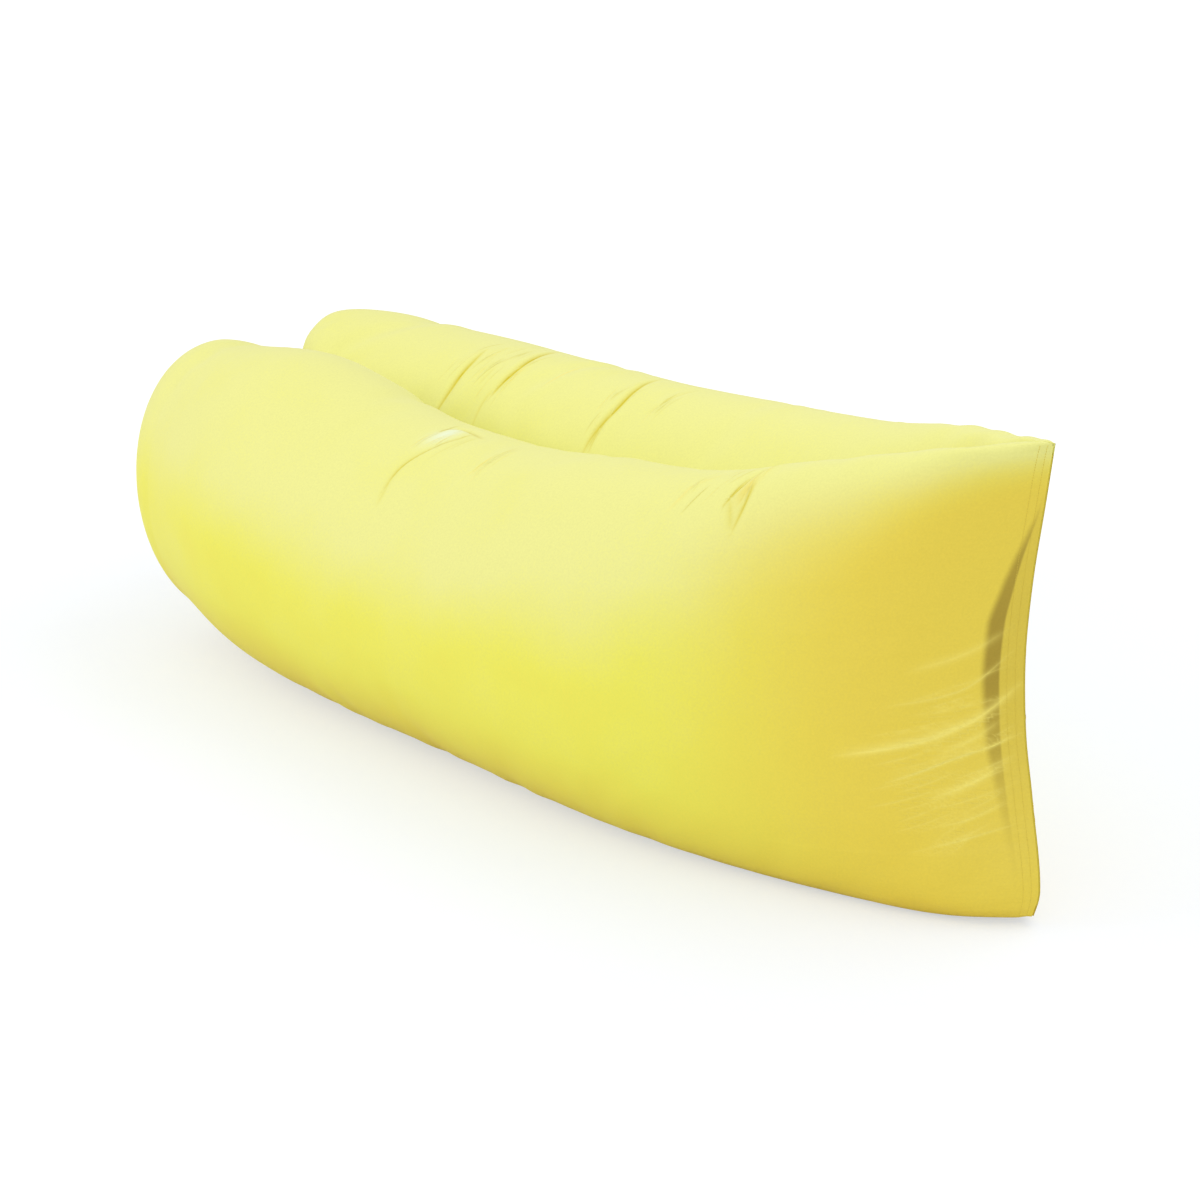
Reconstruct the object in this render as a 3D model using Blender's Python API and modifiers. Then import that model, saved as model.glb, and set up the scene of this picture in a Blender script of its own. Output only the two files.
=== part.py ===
# Inflatable air lounger, filled and closed.
# Two fabric sleeves lie side by side, each round an air liner. At the head end (+X) they are sewn shut
# together, along one upright seam. At the foot end (-X) each swells into a round lobe, and between the lobes
# their mouths gather into a neck, roll up together and bend into a loop that a side-release buckle holds.
# X runs from foot to head, Z is up, and the origin is on the floor under the middle of the whole.
import math

import bmesh
import bpy
from mathutils import Vector

# Sleeves
body_run = 1.74  # from the cleft between the lobes to the head seam's top corner
head_height = 0.66  # of the head seam, which a sleeve cut 0.70 m wide leaves when it is filled
tube_width = 0.42  # of one filled sleeve, out from the middle plane
fabric_wall = 0.001
wall_gap = 0.0015  # from the middle plane to each sleeve, with the sewn tapes between them
seam_thickness = 0.012  # of one sleeve's sewn end
seam_sag = 0.033  # how far the middle of the head seam is drawn in

# Tables along a sleeve, from the cleft to the head seam. Heights are shares of the head's height,
# widths are shares of the tube's width, and the crest line is a share of the width at that place.
station_shares = (0.0, 0.15, 0.30, 0.45, 0.58, 0.72, 0.85, 0.94, 1.0)
near_crest_shares = (0.80, 0.838, 0.765, 0.755, 0.79, 0.83, 0.918, 0.975, 1.0)
far_crest_shares = (0.804, 0.807, 0.816, 0.824, 0.842, 0.876, 0.942, 0.98, 1.0)
underside_shares = (0.078, 0.018, -0.007, -0.007, -0.007, -0.007, -0.005, 0.004, 0.018)
near_width_shares = (0.864, 0.995, 0.967, 0.936, 0.914, 0.817, 0.60, 0.355, 0.03)
far_width_shares = (0.87, 0.995, 0.967, 0.936, 0.90, 0.765, 0.465, 0.19, 0.03)
crest_line_shares = (0.53, 0.46, 0.42, 0.41, 0.44, 0.47, 0.50, 0.51, 0.53)
press_shares = (1.12, 1.14, 1.16, 1.17, 1.19, 1.20, 1.21, 1.21, 1.0)
seam_height_shares = (0.0, 0.08, 0.27, 0.40, 0.56, 0.72, 0.88, 1.0)
seam_draw_shares = (0.0, -0.4, 0.27, 0.78, 1.0, 0.79, 0.33, 0.0)
draw_start_share = 0.6  # of the run, where the drawing in of the seam begins to show
blunt_start_share = 0.9  # of the run, where the section begins to square up towards the sewn end
blunt_share = 0.4
rest_turn = math.radians(20)  # to each side of a section's lowest point, where it lies flat on the floor

# Buckles in the filled fabric: place along the run, middle and spread as shares of a turn from the crest
# outwards, and depth as a share of the tube's width.
near_crease_shares = ((0.382, 0.05, 0.085, 0.04), (0.788, 0.05, 0.075, 0.04))
far_crease_shares = ((0.169, -0.09, 0.10, 0.04), (0.237, -0.08, 0.10, 0.04), (0.416, -0.075, 0.10, 0.04))
crease_half_width = 0.026
base_rings = 14
ring_crowding = 1.15  # how much closer together the rings are at the head end
ring_spacing_share = 1.9  # of a crease's half width, within which it has no other ring than its own
points_round = 20

# Lobes and the cleft between them
near_lobe_reach_share = 0.929
far_lobe_reach_share = 1.326
lobe_nose_share = 0.055
near_lobe_lean_share = -0.152
far_lobe_lean_share = -0.182
near_lobe_lift = 0.039
far_lobe_lift = 0.10
lobe_turns_share = (0.16, 0.32, 0.47, 0.61, 0.73, 0.83)  # of a right angle round the cleft
cleft_half = 0.014

# Gathered neck between the lobes
neck_height_place = 0.285
neck_half = 0.10
neck_mouth_half = 0.115
neck_thickness = 0.008  # of one sleeve's gathered end
fold_depth = 0.003
neck_reach = 0.10  # from the cleft to the roll
neck_seat_gap = 0.0009  # to the roll, whose faces are flat between its rings
neck_middle_share = 0.5
neck_lean_share = -0.17
neck_blunt_share = 0.35

# Liners
liner_wall = 0.0008
liner_inset = 0.003
liner_end_share = 0.97  # the liner's welded end stops short of the seam
liner_lobe_rings = 4  # as far as it reaches round the lobe
liner_cleft_gap = 0.024  # from the middle plane, where the fabric folds at the cleft
liner_cleft_run = 0.08

# Rolled mouth, bent into an upright loop
loop_half_depth = 0.11
loop_half_height = 0.16
roll_half_thickness = 0.013
roll_half_width = 0.030
roll_core_thickness = 0.0045
roll_core_width = 0.019
roll_layer = 0.0028
roll_turns = 2
roll_points_round = 16
roll_end_angle = math.radians(147.5)
roll_rings = 21
roll_square_share = 0.6
seat_gap = 0.0004

# Stiffening strips in the roll's core
strip_thickness = 0.0012
strip_width = 0.024
strip_short_rings = 1  # by which the strips stop short of the roll's ends

# Webbing tabs
webbing_width = 0.025
webbing_thickness = 0.0012
webbing_tail_share = 0.6  # of the roll's last stretch, which the tab's tail runs into
webbing_points = 7
eye_points = 16  # round the eye that each tab is sewn into

# Side-release buckle
buckle_width = 0.033
buckle_thickness = 0.011
buckle_edge = 0.0022
socket_top = 0.012  # above the buckle's middle
socket_bottom = -0.020
housing_wall = 0.002
window_top = -0.0016
window_bottom = -0.0146
window_clearance = 0.0001
scallop_radius = 0.007
scallop_depth = 0.003
scallop_height = -0.008
bar_place = 0.0295  # of each webbing bar, above or below the buckle's middle
bar_radius = 0.002
bar_clearance = 0.0004
rail_width = 0.003
rail_thickness = 0.0055
plug_gap = 0.0004
plug_base_height = 0.008
tongue_width = 0.0064
tongue_thickness = 0.005
tongue_length = 0.021
tongue_tip_share = 0.6
arm_pivot_out = 0.009
arm_pivot_height = 0.0128
arm_root_radius = 0.0021
arm_seat_clearance = 0.0003
arm_thickness = 0.006
arm_shank_width = 0.003
arm_tip = -0.0135
arm_root_points = 12
pad_face_out = 0.0162
pad_ridge = 0.0006
pad_ridges = 4
catch_gap = 0.0005
cut_overrun = 0.004

# Sewn tapes between the sleeves
tape_clearance = 0.0003
head_tape_width = 0.030
head_tape_low = 0.03
head_tape_high = 0.645
head_tape_points = 12
join_tape_height = 0.025
join_tape_place = 0.27
join_tape_start = 0.02

# Pocket on the far sleeve's outer side
pocket_rings = (6, 9)
pocket_points = (3, 6)
pocket_gap = 0.0005
pocket_wall = 0.001
hem_radius = 0.0016

yellow = (0.86, 0.77, 0.10, 1.0)
liner_white = (0.82, 0.83, 0.80, 1.0)
tape_yellow = (0.62, 0.54, 0.07, 1.0)
strip_grey = (0.25, 0.25, 0.26, 1.0)
webbing_black = (0.03, 0.03, 0.035, 1.0)
buckle_black = (0.02, 0.02, 0.022, 1.0)


def clear_scene():
    for obj in list(bpy.data.objects):
        bpy.data.objects.remove(obj, do_unlink=True)


def collection(name):
    made = bpy.data.collections.new(name)
    bpy.context.scene.collection.children.link(made)
    return made


def material(name, colour, roughness):
    made = bpy.data.materials.new(name)
    made.use_nodes = True
    shader = made.node_tree.nodes["Principled BSDF"]
    shader.inputs["Base Color"].default_value = colour
    shader.inputs["Roughness"].default_value = roughness
    shader.inputs["Metallic"].default_value = 0.0
    return made


clear_scene()
parts = collection("air_lounger")
cutters = collection("cutters")
cutters.hide_render = True
sleeve_fabric = material("sleeve_fabric", yellow, 0.5)
liner_film = material("liner_film", liner_white, 0.3)
seam_tape = material("seam_tape", tape_yellow, 0.7)
strip_plastic = material("strip_plastic", strip_grey, 0.5)
webbing = material("webbing", webbing_black, 0.8)
buckle_plastic = material("buckle_plastic", buckle_black, 0.45)


def add(obj, surface):
    """Puts a finished object in the part's collection with its material."""
    for home in list(obj.users_collection):
        home.objects.unlink(obj)
    parts.objects.link(obj)
    obj.data.materials.clear()
    obj.data.materials.append(surface)
    return obj


def add_cutter(obj):
    for home in list(obj.users_collection):
        home.objects.unlink(obj)
    cutters.objects.link(obj)
    obj.hide_render = True
    obj.display_type = "WIRE"
    return obj


def smooth(shares, values, place):
    """The value at a place of a table, on a curve through its points."""
    last = len(shares) - 1
    i = 0
    while i < last - 1 and place > shares[i + 1]:
        i += 1
    span = shares[i + 1] - shares[i]
    t = (place - shares[i]) / span
    slopes = []
    for j in (i, i + 1):
        low = max(j - 1, 0)
        high = min(j + 1, last)
        slopes.append((values[high] - values[low]) / (shares[high] - shares[low]) * span)
    rise = values[i + 1] - values[i]
    return (
        values[i]
        + slopes[0] * t
        + (3 * rise - 2 * slopes[0] - slopes[1]) * t * t
        + (slopes[0] + slopes[1] - 2 * rise) * t**3
    )


def power(value, share):
    return math.copysign(abs(value) ** share, value)


# Sections of a sleeve. A point's turn runs from the crest over the outer side and the underside
# to the wall between the sleeves. Sections are made for the near sleeve (-Y), and the far one mirrors them.


def turns():
    return [2 * math.pi * i / points_round for i in range(points_round)]


def section_sizes(side, place):
    crest_shares = near_crest_shares if side == "near" else far_crest_shares
    width_shares = near_width_shares if side == "near" else far_width_shares
    crest = head_height * smooth(station_shares, crest_shares, place)
    under = head_height * smooth(station_shares, underside_shares, place)
    width = max(tube_width * smooth(station_shares, width_shares, place), seam_thickness)
    line = width * smooth(station_shares, crest_line_shares, place)
    press = smooth(station_shares, press_shares, place)
    return crest, under, width, line, press


def reach_out(turn, width, line, press, blunt):
    """How far a point of a section lies from the middle plane."""
    bulge = power(math.sin(turn), blunt)
    out = line + (width - line) * bulge if bulge > 0 else line + line * press * bulge
    return max(out, wall_gap)


def crease_depth(side, place, turn):
    crease_shares = near_crease_shares if side == "near" else far_crease_shares
    depth = 0.0
    for crease_share, middle_share, spread_share, depth_share in crease_shares:
        along = (place - crease_share) * body_run / crease_half_width
        away = (turn / (2 * math.pi) - middle_share + 0.5) % 1.0 - 0.5
        round_share = max(0.0, 1.0 - (away / spread_share) ** 2)
        depth += tube_width * depth_share * math.exp(-along * along) * round_share
    return depth


def seam_x(height):
    """The head seam's place along X at a height above the floor, from the cleft."""
    share = min(max(height / head_height, 0.0), 1.0)
    return body_run - seam_sag * smooth(seam_height_shares, seam_draw_shares, share)


def body_section(side, place):
    crest, under, width, line, press = section_sizes(side, place)
    middle = (crest + under) / 2
    half = (crest - under) / 2
    draw = max(0.0, (place - draw_start_share) / (1 - draw_start_share)) ** 2
    square = max(0.0, (place - blunt_start_share) / (1 - blunt_start_share))
    blunt = 1 + (blunt_share - 1) * square
    points = []
    for turn in turns():
        out = reach_out(turn, width, line, press, blunt)
        height = middle + half * math.cos(turn)
        if under < 0 and math.cos(turn) < -math.cos(rest_turn):
            height = 0.0
        depth = crease_depth(side, place, turn)
        inward = Vector((0.0, line - out, middle - height)).normalized() * depth
        x = body_run * place - (body_run - seam_x(height)) * draw
        points.append(Vector((x, -out - inward.y, max(height + inward.z, 0.0))))
    return points


def lobe_section(side, turn_share):
    """A section of the lobe, turned about the upright line at the bottom of the cleft."""
    reach = near_lobe_reach_share if side == "near" else far_lobe_reach_share
    lean = near_lobe_lean_share if side == "near" else far_lobe_lean_share
    lift = near_lobe_lift if side == "near" else far_lobe_lift
    crest, under, width, line, press = section_sizes(side, 0.0)
    angle = math.pi / 2 * turn_share
    open_share = math.cos(angle)
    shut_share = math.sin(angle)
    half = (crest - under) / 2 * open_share + neck_half * (1 - open_share)
    middle = (crest + under) / 2 * open_share + neck_height_place * (1 - open_share)
    middle += lift * shut_share**2 * open_share
    points = []
    for turn in turns():
        out = reach_out(turn, width * open_share, line * open_share, press, 1)
        outer_share = (1 + math.sin(turn)) / 2
        height = middle + half * math.cos(turn)
        x = -reach * out * shut_share + lean * (height - middle) * shut_share
        cleft = cleft_half * outer_share + wall_gap * (1 - outer_share)
        y = out * open_share * (1 - lobe_nose_share * shut_share) + cleft * shut_share
        points.append(Vector((x, -y, height)))
    return points


def neck_section(half, outer, face, lean_share):
    """A flat section of the gathered neck: face gives its place along X at a height."""
    points = []
    middle = (wall_gap + outer) / 2
    for turn in turns():
        out = middle + (outer - wall_gap) / 2 * power(math.sin(turn), neck_blunt_share)
        height = neck_height_place + half * math.cos(turn)
        lean = neck_lean_share * (height - neck_height_place) * lean_share
        points.append(Vector((face(height) + lean, -out, height)))
    return points


loop_x = -neck_reach - roll_half_thickness - loop_half_depth
buckle_x = loop_x - loop_half_depth


def roll_face_x(height):
    rise = (height - neck_height_place) / (loop_half_height + roll_half_thickness)
    return loop_x + (loop_half_depth + roll_half_thickness) * math.sqrt(1 - rise * rise) + neck_seat_gap


def stations(side):
    crease_shares = near_crease_shares if side == "near" else far_crease_shares
    step = crease_half_width / body_run
    places = [(1 - (1 - i / base_rings) ** ring_crowding) for i in range(base_rings + 1)]
    near = [p for p in places if all(abs(p - c[0]) > ring_spacing_share * step for c in crease_shares)]
    for crease in crease_shares:
        near += [crease[0] - step, crease[0], crease[0] + step]
    return sorted(near)


def sleeve_sections(side):
    neck_outer = wall_gap + neck_thickness
    sections = [
        neck_section(neck_mouth_half, neck_outer, roll_face_x, 0),
        neck_section(neck_half, neck_outer, lambda height: -neck_reach * neck_middle_share, neck_middle_share),
        neck_section(neck_half, neck_outer, lambda height: fold_depth, 1),
        neck_section(neck_half, cleft_half, lambda height: fold_depth, 1),
    ]
    sections += [lobe_section(side, share) for share in reversed(lobe_turns_share)]
    sections += [body_section(side, place) for place in stations(side)]
    return sections


def liner_sections(side):
    sections = [lobe_section(side, share) for share in reversed(lobe_turns_share[:liner_lobe_rings])]
    return sections + [body_section(side, place) for place in stations(side) if place < liner_end_share]


def shift():
    """The move along X that puts the origin under the middle of the whole length."""
    back = max(point.x for point in body_section("near", 1.0))
    front = buckle_x - buckle_thickness / 2
    return -(front + back) / 2


x_shift = shift()


def surface_mesh(name, sections, side, inset=0.0):
    """A surface through the sections, open at the first and closed at the last, moved in by the inset."""
    bm = bmesh.new()
    mirror = 1 if side == "near" else -1
    rings = []
    for section in sections:
        rings.append([bm.verts.new((p.x + x_shift, p.y * mirror, p.z)) for p in section])
    count = len(rings[0])
    for low, high in zip(rings, rings[1:]):
        for i in range(count):
            j = (i + 1) % count
            bm.faces.new((low[i], low[j], high[j], high[i]))
    end = rings[-1]
    bm.faces.new((end[0], end[1], end[-1]))
    for i in range(1, count // 2 - 1):
        bm.faces.new((end[i], end[i + 1], end[count - i - 1], end[count - i]))
    bm.faces.new((end[count // 2 - 1], end[count // 2], end[count // 2 + 1]))
    if side == "far":
        bmesh.ops.reverse_faces(bm, faces=bm.faces[:])
    bm.normal_update()
    for vert, normal in [(vert, vert.normal.copy()) for vert in bm.verts]:
        vert.co -= normal * inset
        if inset:
            gap = liner_cleft_gap if vert.co.x - x_shift < liner_cleft_run else wall_gap + inset
            vert.co.y = -mirror * max(-mirror * vert.co.y, gap)
    mesh = bpy.data.meshes.new(name)
    bm.to_mesh(mesh)
    bm.free()
    return mesh


def shell(name, mesh, wall, surface, offset=-1):
    obj = add(bpy.data.objects.new(name, mesh), surface)
    solid = obj.modifiers.new("wall", "SOLIDIFY")
    solid.thickness = wall
    solid.offset = offset
    solid.use_rim = True
    mesh.shade_smooth()
    return obj


def build_sleeves():
    for side in ("near", "far"):
        name = side + "_sleeve"
        mesh = surface_mesh(name, sleeve_sections(side), side)
        shell(name, mesh, fabric_wall, sleeve_fabric)
        name = side + "_air_liner"
        mesh = surface_mesh(name, liner_sections(side), side, liner_inset)
        shell(name, mesh, liner_wall, liner_film)


def flat_plate(name, outlines, half_depth, surface, place=(0, 0, 0)):
    """A plate across Y: outlines are closed lists of (x, z), the first outside and the others holes."""
    curve = bpy.data.curves.new(name, "CURVE")
    curve.dimensions = "2D"
    curve.fill_mode = "BOTH"
    curve.extrude = half_depth
    for outline in outlines:
        spline = curve.splines.new("POLY")
        spline.points.add(len(outline) - 1)
        for point, (x, z) in zip(spline.points, outline):
            point.co = (x, z, 0, 1)
        spline.use_cyclic_u = True
    obj = bpy.data.objects.new(name, curve)
    obj.rotation_euler = (math.pi / 2, 0, 0)
    obj.location = place
    return add(obj, surface)


def build_tapes():
    half = wall_gap - tape_clearance
    rise = (head_tape_high - head_tape_low) / (head_tape_points - 1)
    heights = [head_tape_low + rise * i for i in range(head_tape_points)]
    outer = [(seam_x(z) - seat_gap + x_shift, z) for z in heights]
    inner = [(seam_x(z) - head_tape_width + x_shift, z) for z in reversed(heights)]
    flat_plate("head_seam_tape", [outer + inner], half, seam_tape)
    low = join_tape_place - join_tape_height / 2
    high = join_tape_place + join_tape_height / 2
    end = min(seam_x(low), seam_x(high)) - head_tape_width - seat_gap + x_shift
    start = join_tape_start + x_shift
    outline = [(start, low), (end, low), (end, high), (start, high)]
    flat_plate("centre_join_tape", [outline], half, seam_tape)


# The rolled mouth. A place on the loop is given by its angle from the neck's side, and a point of a
# section by its distance out of the loop and its place across it.


def loop_point(angle, out=0.0):
    """(x, z) on the loop's middle line, or out from it."""
    normal = Vector((loop_half_height * math.cos(angle), loop_half_depth * math.sin(angle))).normalized()
    x = loop_x + loop_half_depth * math.cos(angle) + normal.x * out
    z = neck_height_place + loop_half_height * math.sin(angle) + normal.y * out
    return x + x_shift, z


def roll_angle(ring):
    return roll_end_angle * (2 * ring / (roll_rings - 1) - 1)


def swept(name, section, short_rings, surface):
    """A bar of one section, (out, across) points, along the roll's rings but for some at each end."""
    bm = bmesh.new()
    rings = []
    for i in range(short_rings, roll_rings - short_rings):
        angle = roll_angle(i)
        ring = []
        for out, across in section:
            x, z = loop_point(angle, out)
            ring.append(bm.verts.new((x, across, z)))
        rings.append(ring)
    size = len(section)
    for low, high in zip(rings, rings[1:]):
        for i in range(size):
            j = (i + 1) % size
            bm.faces.new((low[i], low[j], high[j], high[i]))
    bm.faces.new(rings[0][::-1])
    bm.faces.new(rings[-1])
    bmesh.ops.recalc_face_normals(bm, faces=bm.faces[:])
    bmesh.ops.triangulate(bm, faces=[f for f in bm.faces if len(f.verts) > 4])
    mesh = bpy.data.meshes.new(name)
    bm.to_mesh(mesh)
    bm.free()
    mesh.shade_smooth()
    mesh.set_sharp_from_angle(angle=math.radians(50))
    return add(bpy.data.objects.new(name, mesh), surface)


def roll_section():
    """The flattened spiral of fabric, from its core to the edge that runs into the neck."""
    steps = roll_turns * roll_points_round
    start = math.pi / 2
    outer = []
    inner = []
    for i in range(steps + 1):
        share = i / steps
        angle = start + 2 * math.pi * roll_turns * share
        half_thickness = roll_core_thickness + (roll_half_thickness - roll_core_thickness) * share
        half_width = roll_core_width + (roll_half_width - roll_core_width) * share
        up = power(math.sin(angle), roll_square_share)
        across = power(math.cos(angle), roll_square_share)
        outer.append((half_thickness * up, half_width * across))
        inner.append(((half_thickness - roll_layer) * up, (half_width - roll_layer) * across))
    return outer + inner[::-1]


def build_roll():
    swept("mouth_roll", roll_section(), 0, sleeve_fabric)
    for side, sign in (("outer", 1), ("inner", -1)):
        low = sign * seat_gap / 2
        high = low + sign * strip_thickness
        half = strip_width / 2
        section = [(low, -half), (high, -half), (high, half), (low, half)]
        swept(side + "_stiffener_strip", section, strip_short_rings, strip_plastic)


def webbing_line(sign):
    """The middle line of a tab, as (x, z) from the roll's core down to the buckle's bar."""
    before = Vector(loop_point(sign * roll_angle(roll_rings - 2)))
    mouth = Vector(loop_point(sign * roll_end_angle))
    end = math.pi - math.asin((bar_place + bar_radius) / loop_half_height)
    points = [tuple(mouth.lerp(before, webbing_tail_share))]
    for i in range(webbing_points):
        angle = roll_end_angle + (end - roll_end_angle) * i / (webbing_points - 1)
        points.append(loop_point(sign * angle))
    return points


def build_webbing_tab(name, sign):
    line = webbing_line(sign)
    hole = bar_radius + bar_clearance
    ring = hole + webbing_thickness
    bar_x = buckle_x + x_shift
    bar_z = neck_height_place + sign * bar_place
    half = webbing_thickness
    left = []
    right = []
    for i, (x, z) in enumerate(line):
        before = Vector(line[max(i - 1, 0)])
        after = Vector(line[min(i + 1, len(line) - 1)])
        across = (after - before).normalized().orthogonal() * half
        left.append((x + across.x, z + across.y))
        right.append((x - across.x, z - across.y))
    arc = []
    first = math.atan2(left[-1][1] - bar_z, left[-1][0] - bar_x)
    last = math.atan2(right[-1][1] - bar_z, right[-1][0] - bar_x)
    turn = (last - first) % (2 * math.pi)
    if turn < math.pi:
        turn -= 2 * math.pi
    for i in range(1, eye_points):
        angle = first + turn * i / eye_points
        arc.append((bar_x + ring * math.cos(angle), bar_z + ring * math.sin(angle)))
    outline = left[:-1] + arc + right[:-1][::-1]
    circle = []
    for i in range(eye_points):
        angle = 2 * math.pi * i / eye_points
        circle.append((bar_x + hole * math.cos(angle), bar_z + hole * math.sin(angle)))
    flat_plate(name, [outline, circle], webbing_width / 2, webbing)


def box(name, size, centre, edge=0.0):
    bpy.ops.mesh.primitive_cube_add(size=1, location=centre)
    obj = bpy.context.object
    obj.name = name
    for vert in obj.data.vertices:
        vert.co = Vector([vert.co[i] * size[i] for i in range(3)])
    if edge:
        bevel = obj.modifiers.new("edges", "BEVEL")
        bevel.width = edge
        bevel.segments = 3
        bevel.limit_method = "ANGLE"
    return obj


def bar(name, radius, length, centre, along="Y"):
    turned = (math.pi / 2, 0, 0) if along == "Y" else (0, math.pi / 2, 0)
    bpy.ops.mesh.primitive_cylinder_add(
        vertices=24, radius=radius, depth=length, location=centre, rotation=turned
    )
    obj = bpy.context.object
    obj.name = name
    return obj


def combine(obj, other, operation):
    step = obj.modifiers.new(other.name, "BOOLEAN")
    step.operation = operation
    step.object = add_cutter(other)


def at_buckle(x, y, z):
    return (buckle_x + x_shift + x, y, neck_height_place + z)


def add_webbing_bar(obj, sign, inner_end):
    """Two rails and the round bar that the webbing loops round."""
    length = bar_place - abs(inner_end) + bar_radius
    rail_y = (buckle_width - rail_width) / 2
    for side in (-1, 1):
        centre = at_buckle(0, side * rail_y, sign * (abs(inner_end) + length / 2))
        rail = box(f"{obj.name}_rail", (rail_thickness, rail_width, length), centre, bar_radius / 2)
        combine(obj, rail, "UNION")
    pin = bar(f"{obj.name}_bar", bar_radius, buckle_width - rail_width, at_buckle(0, 0, sign * bar_place))
    combine(obj, pin, "UNION")


def build_socket():
    height = socket_top - socket_bottom
    middle = (socket_top + socket_bottom) / 2
    size = (buckle_thickness, buckle_width, height)
    socket = add(box("buckle_socket", size, at_buckle(0, 0, middle), buckle_edge), buckle_plastic)
    add_webbing_bar(socket, -1, socket_bottom + buckle_edge)
    cavity_size = (
        buckle_thickness - 2 * housing_wall,
        buckle_width - 2 * housing_wall,
        height - housing_wall + cut_overrun,
    )
    cavity_middle = socket_bottom + housing_wall + cavity_size[2] / 2
    cavity = box("socket_cavity", cavity_size, at_buckle(0, 0, cavity_middle))
    combine(socket, cavity, "DIFFERENCE")
    window_size = (
        cavity_size[0] - 2 * window_clearance,
        buckle_width + 2 * cut_overrun,
        window_top - window_bottom,
    )
    window_middle = (window_top + window_bottom) / 2
    window = box("socket_windows", window_size, at_buckle(0, 0, window_middle))
    combine(socket, window, "DIFFERENCE")
    scallop_out = buckle_width / 2 - scallop_depth + scallop_radius
    for side in (-1, 1):
        centre = at_buckle(0, side * scallop_out, scallop_height)
        scallop = bar("socket_scallop", scallop_radius, buckle_thickness + 2 * cut_overrun, centre, "X")
        combine(socket, scallop, "DIFFERENCE")
    return socket


def build_plug():
    base_low = socket_top + plug_gap
    middle = base_low + plug_base_height / 2
    size = (buckle_thickness, buckle_width, plug_base_height)
    plug = add(box("buckle_plug", size, at_buckle(0, 0, middle), buckle_edge), buckle_plastic)
    add_webbing_bar(plug, 1, base_low + plug_base_height - buckle_edge)
    tongue_size = (tongue_thickness, tongue_width, tongue_length)
    tongue = box("plug_tongue", tongue_size, at_buckle(0, 0, base_low + buckle_edge - tongue_length / 2))
    for vert in tongue.data.vertices:
        if vert.co.z < 0:
            vert.co.x *= tongue_tip_share
            vert.co.y *= tongue_tip_share
    combine(plug, tongue, "UNION")
    seat_length = arm_thickness + 2 * arm_seat_clearance
    for side in (-1, 1):
        centre = at_buckle(0, side * arm_pivot_out, arm_pivot_height)
        seat = bar("arm_seat", arm_root_radius + arm_seat_clearance, seat_length, centre, "X")
        combine(plug, seat, "DIFFERENCE")
    return plug


def arm_outline():
    """The side view of an arm as (out, up) from its pivot, with the pad's grip ridges."""
    half = arm_shank_width / 2
    tip = arm_tip - arm_pivot_height
    catch = window_top - catch_gap - arm_pivot_height
    face = pad_face_out - arm_pivot_out
    join = -math.sqrt(arm_root_radius**2 - half**2)
    low = math.atan2(join, half)
    points = []
    for i in range(arm_root_points + 1):
        angle = low + (math.pi - 2 * low) * i / arm_root_points
        points.append((arm_root_radius * math.cos(angle), arm_root_radius * math.sin(angle)))
    points.append((-half, tip + arm_shank_width))
    points.append((0, tip))
    points.append((face - 2 * half, tip))
    pad_low = tip + 2 * half
    step = (catch - pad_low) / (2 * pad_ridges + 1)
    for i in range(2 * pad_ridges + 2):
        inset = pad_ridge if i % 2 else 0.0
        points.append((face - inset, pad_low + step * i))
    points.append((half, catch))
    return points


def build_arm(name, side):
    outline = arm_outline()
    curve = bpy.data.curves.new(name, "CURVE")
    curve.dimensions = "2D"
    curve.fill_mode = "BOTH"
    curve.extrude = arm_thickness / 2
    spline = curve.splines.new("POLY")
    spline.points.add(len(outline) - 1)
    for point, (out, up) in zip(spline.points, outline):
        point.co = (out * side, up, 0, 1)
    spline.use_cyclic_u = True
    obj = bpy.data.objects.new(name, curve)
    obj.rotation_euler = (math.pi / 2, 0, math.pi / 2)
    obj.location = at_buckle(0, side * arm_pivot_out, arm_pivot_height)
    return add(obj, buckle_plastic)


def build_pocket():
    """A flat patch pocket that follows the far sleeve's outer side, and the elastic hem along its mouth."""
    sections = [body_section("far", place) for place in stations("far")]
    grid = []
    for i in range(pocket_rings[0], pocket_rings[1] + 1):
        row = []
        for j in range(pocket_points[0], pocket_points[1] + 1):
            here = sections[i][j]
            along = sections[i + 1][j] - sections[i - 1][j]
            round_way = sections[i][j + 1] - sections[i][j - 1]
            normal = round_way.cross(along).normalized()
            row.append((here, normal))
        grid.append(row)
    bm = bmesh.new()
    rows = []
    for row in grid:
        verts = []
        for here, normal in row:
            p = here + normal * pocket_gap
            verts.append(bm.verts.new((p.x + x_shift, -p.y, p.z)))
        rows.append(verts)
    for low, high in zip(rows, rows[1:]):
        for i in range(len(low) - 1):
            bm.faces.new((low[i], high[i], high[i + 1], low[i + 1]))
    mesh = bpy.data.meshes.new("side_pocket")
    bm.to_mesh(mesh)
    bm.free()
    shell("side_pocket", mesh, pocket_wall, sleeve_fabric, 1)
    curve = bpy.data.curves.new("pocket_hem", "CURVE")
    curve.dimensions = "3D"
    curve.bevel_depth = hem_radius
    curve.bevel_resolution = 2
    curve.use_fill_caps = True
    spline = curve.splines.new("POLY")
    spline.points.add(len(grid) - 1)
    lift = pocket_gap + pocket_wall + seat_gap + hem_radius
    for point, row in zip(spline.points, grid):
        here, normal = row[0]
        p = here + normal * lift
        point.co = (p.x + x_shift, -p.y, p.z, 1)
    add(bpy.data.objects.new("pocket_hem", curve), seam_tape)


build_sleeves()
build_tapes()
build_roll()
build_webbing_tab("upper_webbing", 1)
build_webbing_tab("lower_webbing", -1)
build_socket()
build_plug()
build_arm("near_plug_arm", -1)
build_arm("far_plug_arm", 1)
build_pocket()
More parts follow.
